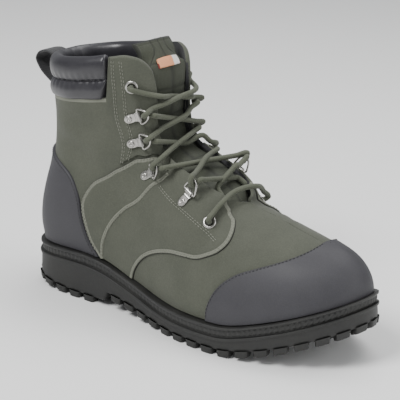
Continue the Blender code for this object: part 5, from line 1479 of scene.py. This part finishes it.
for side, word in SIDES:
    for k in range(4):
        clip, ring = f"clip_{k + 1}_{word}", f"ring_{k + 1}_{word}"
        add_mesh(clip + "_plate", *joined(clip_parts(side, k)), FINISHES["steel"], "metal", [clip])
        add_mesh(ring + "_wire", *ring_wire(side, k), FINISHES["steel"], "metal", [ring])

# %% [markdown]
# The lace.
#
# It is a round braided cord. Each half comes from under a facing, goes up through a ring from
# below, turns round its wire and crosses to the next ring, and ends in the top eyelet of the
# other side. The path is a cubic through the places where the cord bends; between the rings it
# is lifted clear of the tongue and the facings. The braid is a lattice of small strands:
# r = R * (1 + h * cos(4a + s) * cos(4a - s)), with a round the cord and s along it.

# %% Paths of the lace
def clear_of(samples, point, distance):
    """Move a point out until it stands the distance over a sampled face."""
    faces, normals = samples
    near = nearest(faces, point)
    height = (point - faces[near]) @ normals[near]
    if height > 0 and np.linalg.norm(point - faces[near]) > distance:
        return point
    return point + max(distance - height, 0.0) * normals[near]


def draped(start, end, shares, tongue, uppers, play=LACE_PLAY):
    """Places of a run of lace from start to end, lifted clear of the tongue and the facings."""
    run = []
    for share in shares:
        p = start + share * (end - start)
        for _ in range(3):
            p = clear_of(tongue, p, LACE / 2 + play)
            for faces, normals in uppers.values():
                if np.min(np.linalg.norm(faces - p, axis=1)) < 2.5 * LACE:
                    p = clear_of((faces, normals), p, LACE / 2 + COVER_GAP + OVERLAY + play)
        run.append(p)
    return run


def eyelet_ends(side, place):
    """Last two places of a lace that goes into an eyelet: over it, and inside its hole."""
    place, *_, normal = seat(side, *place, 0.0, COVER_GAP + OVERLAY + GAP)
    return place + 1.3 * LACE * normal, place + GAP * normal


RINGS_UP = (3, 2, 1, 0)
LACE_START = 0.526  # place t on the throat's edge where the lace comes from under the facing
OVER_LACE = 1.12 * LACE  # lift of the run that lies on top at a crossing
WRAP = (RING_WIRE + LACE) / 2 + 0.0001
# Turn round the wire: outward and upward from it in wraps, and along the ring in metres
WRAPPED = (
    (0.9, -1.15, -0.0016), (-0.25, -0.97, -0.0008), (-1.0, 0.0, 0.0),
    (-0.25, 0.97, 0.0008), (0.9, 1.15, 0.0016),
)


def through_ring(side, k):
    """Places where the cord passes under, through and over the wire of a ring."""
    bar, lie, across, up = ring_frame(side, k)
    rise = across * np.sign(across[2])
    wire = bar + (RING_REACH - RING_WIRE / 2) * lie
    return [wire + out * WRAP * lie + over * WRAP * up + along * rise for out, over, along in WRAPPED]


def crossing(start, end, shares, tongue, uppers, over):
    """Run between two rings, lifted over the other half where it passes the ridge."""
    run = draped(start, end, shares, tongue, uppers, 0.0008)
    ridge = (RIDGE_SHIFT - start[1]) / (end[1] - start[1])
    lift = over * np.exp(-(((np.array(shares) - ridge) / 0.17) ** 2))
    near = [tongue[1][nearest(tongue[0], p)] for p in run]
    return [p + height * normal for p, height, normal in zip(run, lift, near)]


def threaded(first, tongue, uppers):
    """Path of one half of the lace."""
    side = first
    down = -upper_normal(side, LACE_START, 0.97)
    under = ((0.86, WALL + LACE), (1.0, WALL + 0.3 * LACE))
    path = [upper_point(side, LACE_START, v) + depth * down for v, depth in under]
    start = np.array([0.885 * THROAT_END, RIDGE_SHIFT + 0.29 * first * THROAT_GAP, 1.10 * INSTEP_HEIGHT])
    path += draped(start, start, (0.0,), tongue, {}, 0.0004)
    for k in RINGS_UP:
        side = -side
        stops = through_ring(side, k)
        over = OVER_LACE if side == MEDIAL else 0.0
        path += crossing(path[-1], stops[0], (0.14, 0.32, 0.5, 0.68, 0.86), tongue, uppers, over) + stops
    over, inside = eyelet_ends(-side, TOP_EYELET)
    lift = OVER_LACE if side == LATERAL else 0.0
    path += crossing(path[-1], over, (0.12, 0.3, 0.5, 0.7, 0.88), tongue, uppers, lift)
    return path + [over, inside, inside + 0.6 * (inside - over)]


CORD_STEP = 0.00055
BRAID, BRAID_PITCH = 0.055, 0.0052  # height of the strands as a share of the radius, and their pitch


def cord(path):
    """Points and quads of a braided cord along a path."""
    path = HEEL + smooth_path(path, CORD_STEP)
    twist = np.arange(len(path))[:, None] * CORD_STEP * 2 * np.pi / BRAID_PITCH
    angle = ring_angles(24)
    radius = 0.5 * LACE * (1 + BRAID * np.cos(4 * angle + twist) * np.cos(4 * angle - twist))
    sections = np.stack([radius * np.cos(angle), radius * np.sin(angle)], -1)
    return tube_of(along_path(path, sections, (0.3, 0.2, 1.0)))


uppers = {side: face_samples(side) for side in (LATERAL, MEDIAL)}
halves = [threaded(side, over_tongue, uppers) for side in (LATERAL, MEDIAL)]
lace = joined([cord(path) for path in halves])
add_mesh("braided_lace", *lace, FINISHES["cord"], "lace", ["lace"])
over, inside = eyelet_ends(LATERAL, LOW_EYELET)
far_over, far_inside = eyelet_ends(MEDIAL, LOW_EYELET)
share = np.linspace(0, 1, 9)[1:-1]
arch = over + share[:, None] * (far_over - over)
arch[:, 2] += BAR_SLACK * np.sin(np.pi * share) ** 0.8
arch = [draped(p, p, (0.0,), over_tongue, uppers)[0] for p in arch]
ends = [inside + 0.6 * (inside - over)], [far_inside + 0.6 * (far_inside - far_over)]
bar = ends[0] + [inside, over] + arch + [far_over, far_inside] + ends[1]
add_mesh("lace_slack_bar", *cord(bar), FINISHES["cord"], "lace", ["lace_bar"])
lengths = [run_along(smooth_path(path, CORD_STEP))[-1] for path in halves + [bar]]
print("lace runs:", ", ".join(f"{1000 * length:.0f} mm" for length in lengths))

# %% [markdown]
# Light, floor and camera.
#
# A plain studio: one large soft key from the upper left of the camera, a wide fill from the
# right, and a strip above. The camera looks from the photograph's direction and frames the boot.

# %% Floor, light and camera
FLOOR = 12.0
AZIMUTH, ELEVATION, ROLL = (math.radians(a) for a in (39.017, 18.284, 0.405))
DISTANCE, LENS, SENSOR = 1.2, 142.0, 36.0
AIM = (0.152, 0.0, 0.0905)  # what the camera looks at, from the heel
scene = bpy.context.scene
mesh = bpy.data.meshes.new("floor")
corners = [(FLOOR / 2 * x, FLOOR / 2 * y, 0) for x, y in ((-1, -1), (1, -1), (1, 1), (-1, 1))]
mesh.from_pydata(corners, [], [(0, 1, 2, 3)])
paint = bpy.data.materials.new("floor")
paint.use_nodes = True
for word, value in (("Base Color", (0.93, 0.93, 0.92, 1)), ("Roughness", 0.9)):
    paint.node_tree.nodes["Principled BSDF"].inputs[word].default_value = value
mesh.materials.append(paint)
floor = bpy.data.objects.new("floor", mesh)
scene.collection.objects.link(floor)
aim = HEEL + AIM
back = np.array([
    math.sin(AZIMUTH) * math.cos(ELEVATION), -math.cos(AZIMUTH) * math.cos(ELEVATION), math.sin(ELEVATION),
])
right = np.array([math.cos(AZIMUTH), math.sin(AZIMUTH), 0.0])
up = np.cross(back, right)
turned = (right * math.cos(ROLL) + up * math.sin(ROLL), up * math.cos(ROLL) - right * math.sin(ROLL), back)
lens = bpy.data.cameras.new("camera")
lens.lens, lens.sensor_width = LENS, SENSOR
camera = bpy.data.objects.new("camera", lens)
scene.collection.objects.link(camera)
basis = Matrix(np.column_stack(turned).tolist()).to_4x4()
camera.matrix_world = Matrix.Translation(aim + DISTANCE * back) @ basis
scene.camera = camera
# Name, place, sides in metres and power in watts
SOFTBOXES = (
    ("key", aim + 1.1 * back - 0.9 * right + 1.2 * up, (0.8, 0.8), 33.0),
    ("fill", aim + 1.0 * back + 1.3 * right + 0.3 * up, (1.2, 1.0), 9.0),
    ("top", aim + (0.1, 0.5, 1.2), (1.4, 0.6), 12.0),
)
for name, place, size, power in SOFTBOXES:
    lamp = bpy.data.lights.new(name, "AREA")
    lamp.shape, lamp.energy = "RECTANGLE", power
    lamp.size, lamp.size_y = size
    item = bpy.data.objects.new(name, lamp)
    item.location = place
    item.rotation_euler = (Vector(aim) - Vector(place)).to_track_quat("-Z", "Y").to_euler()
    scene.collection.objects.link(item)
world = bpy.data.worlds.new("studio")
world.use_nodes = True
for word, value in (("Color", (0.92, 0.94, 0.97, 1)), ("Strength", 0.40)):
    world.node_tree.nodes["Background"].inputs[word].default_value = value
scene.world = world
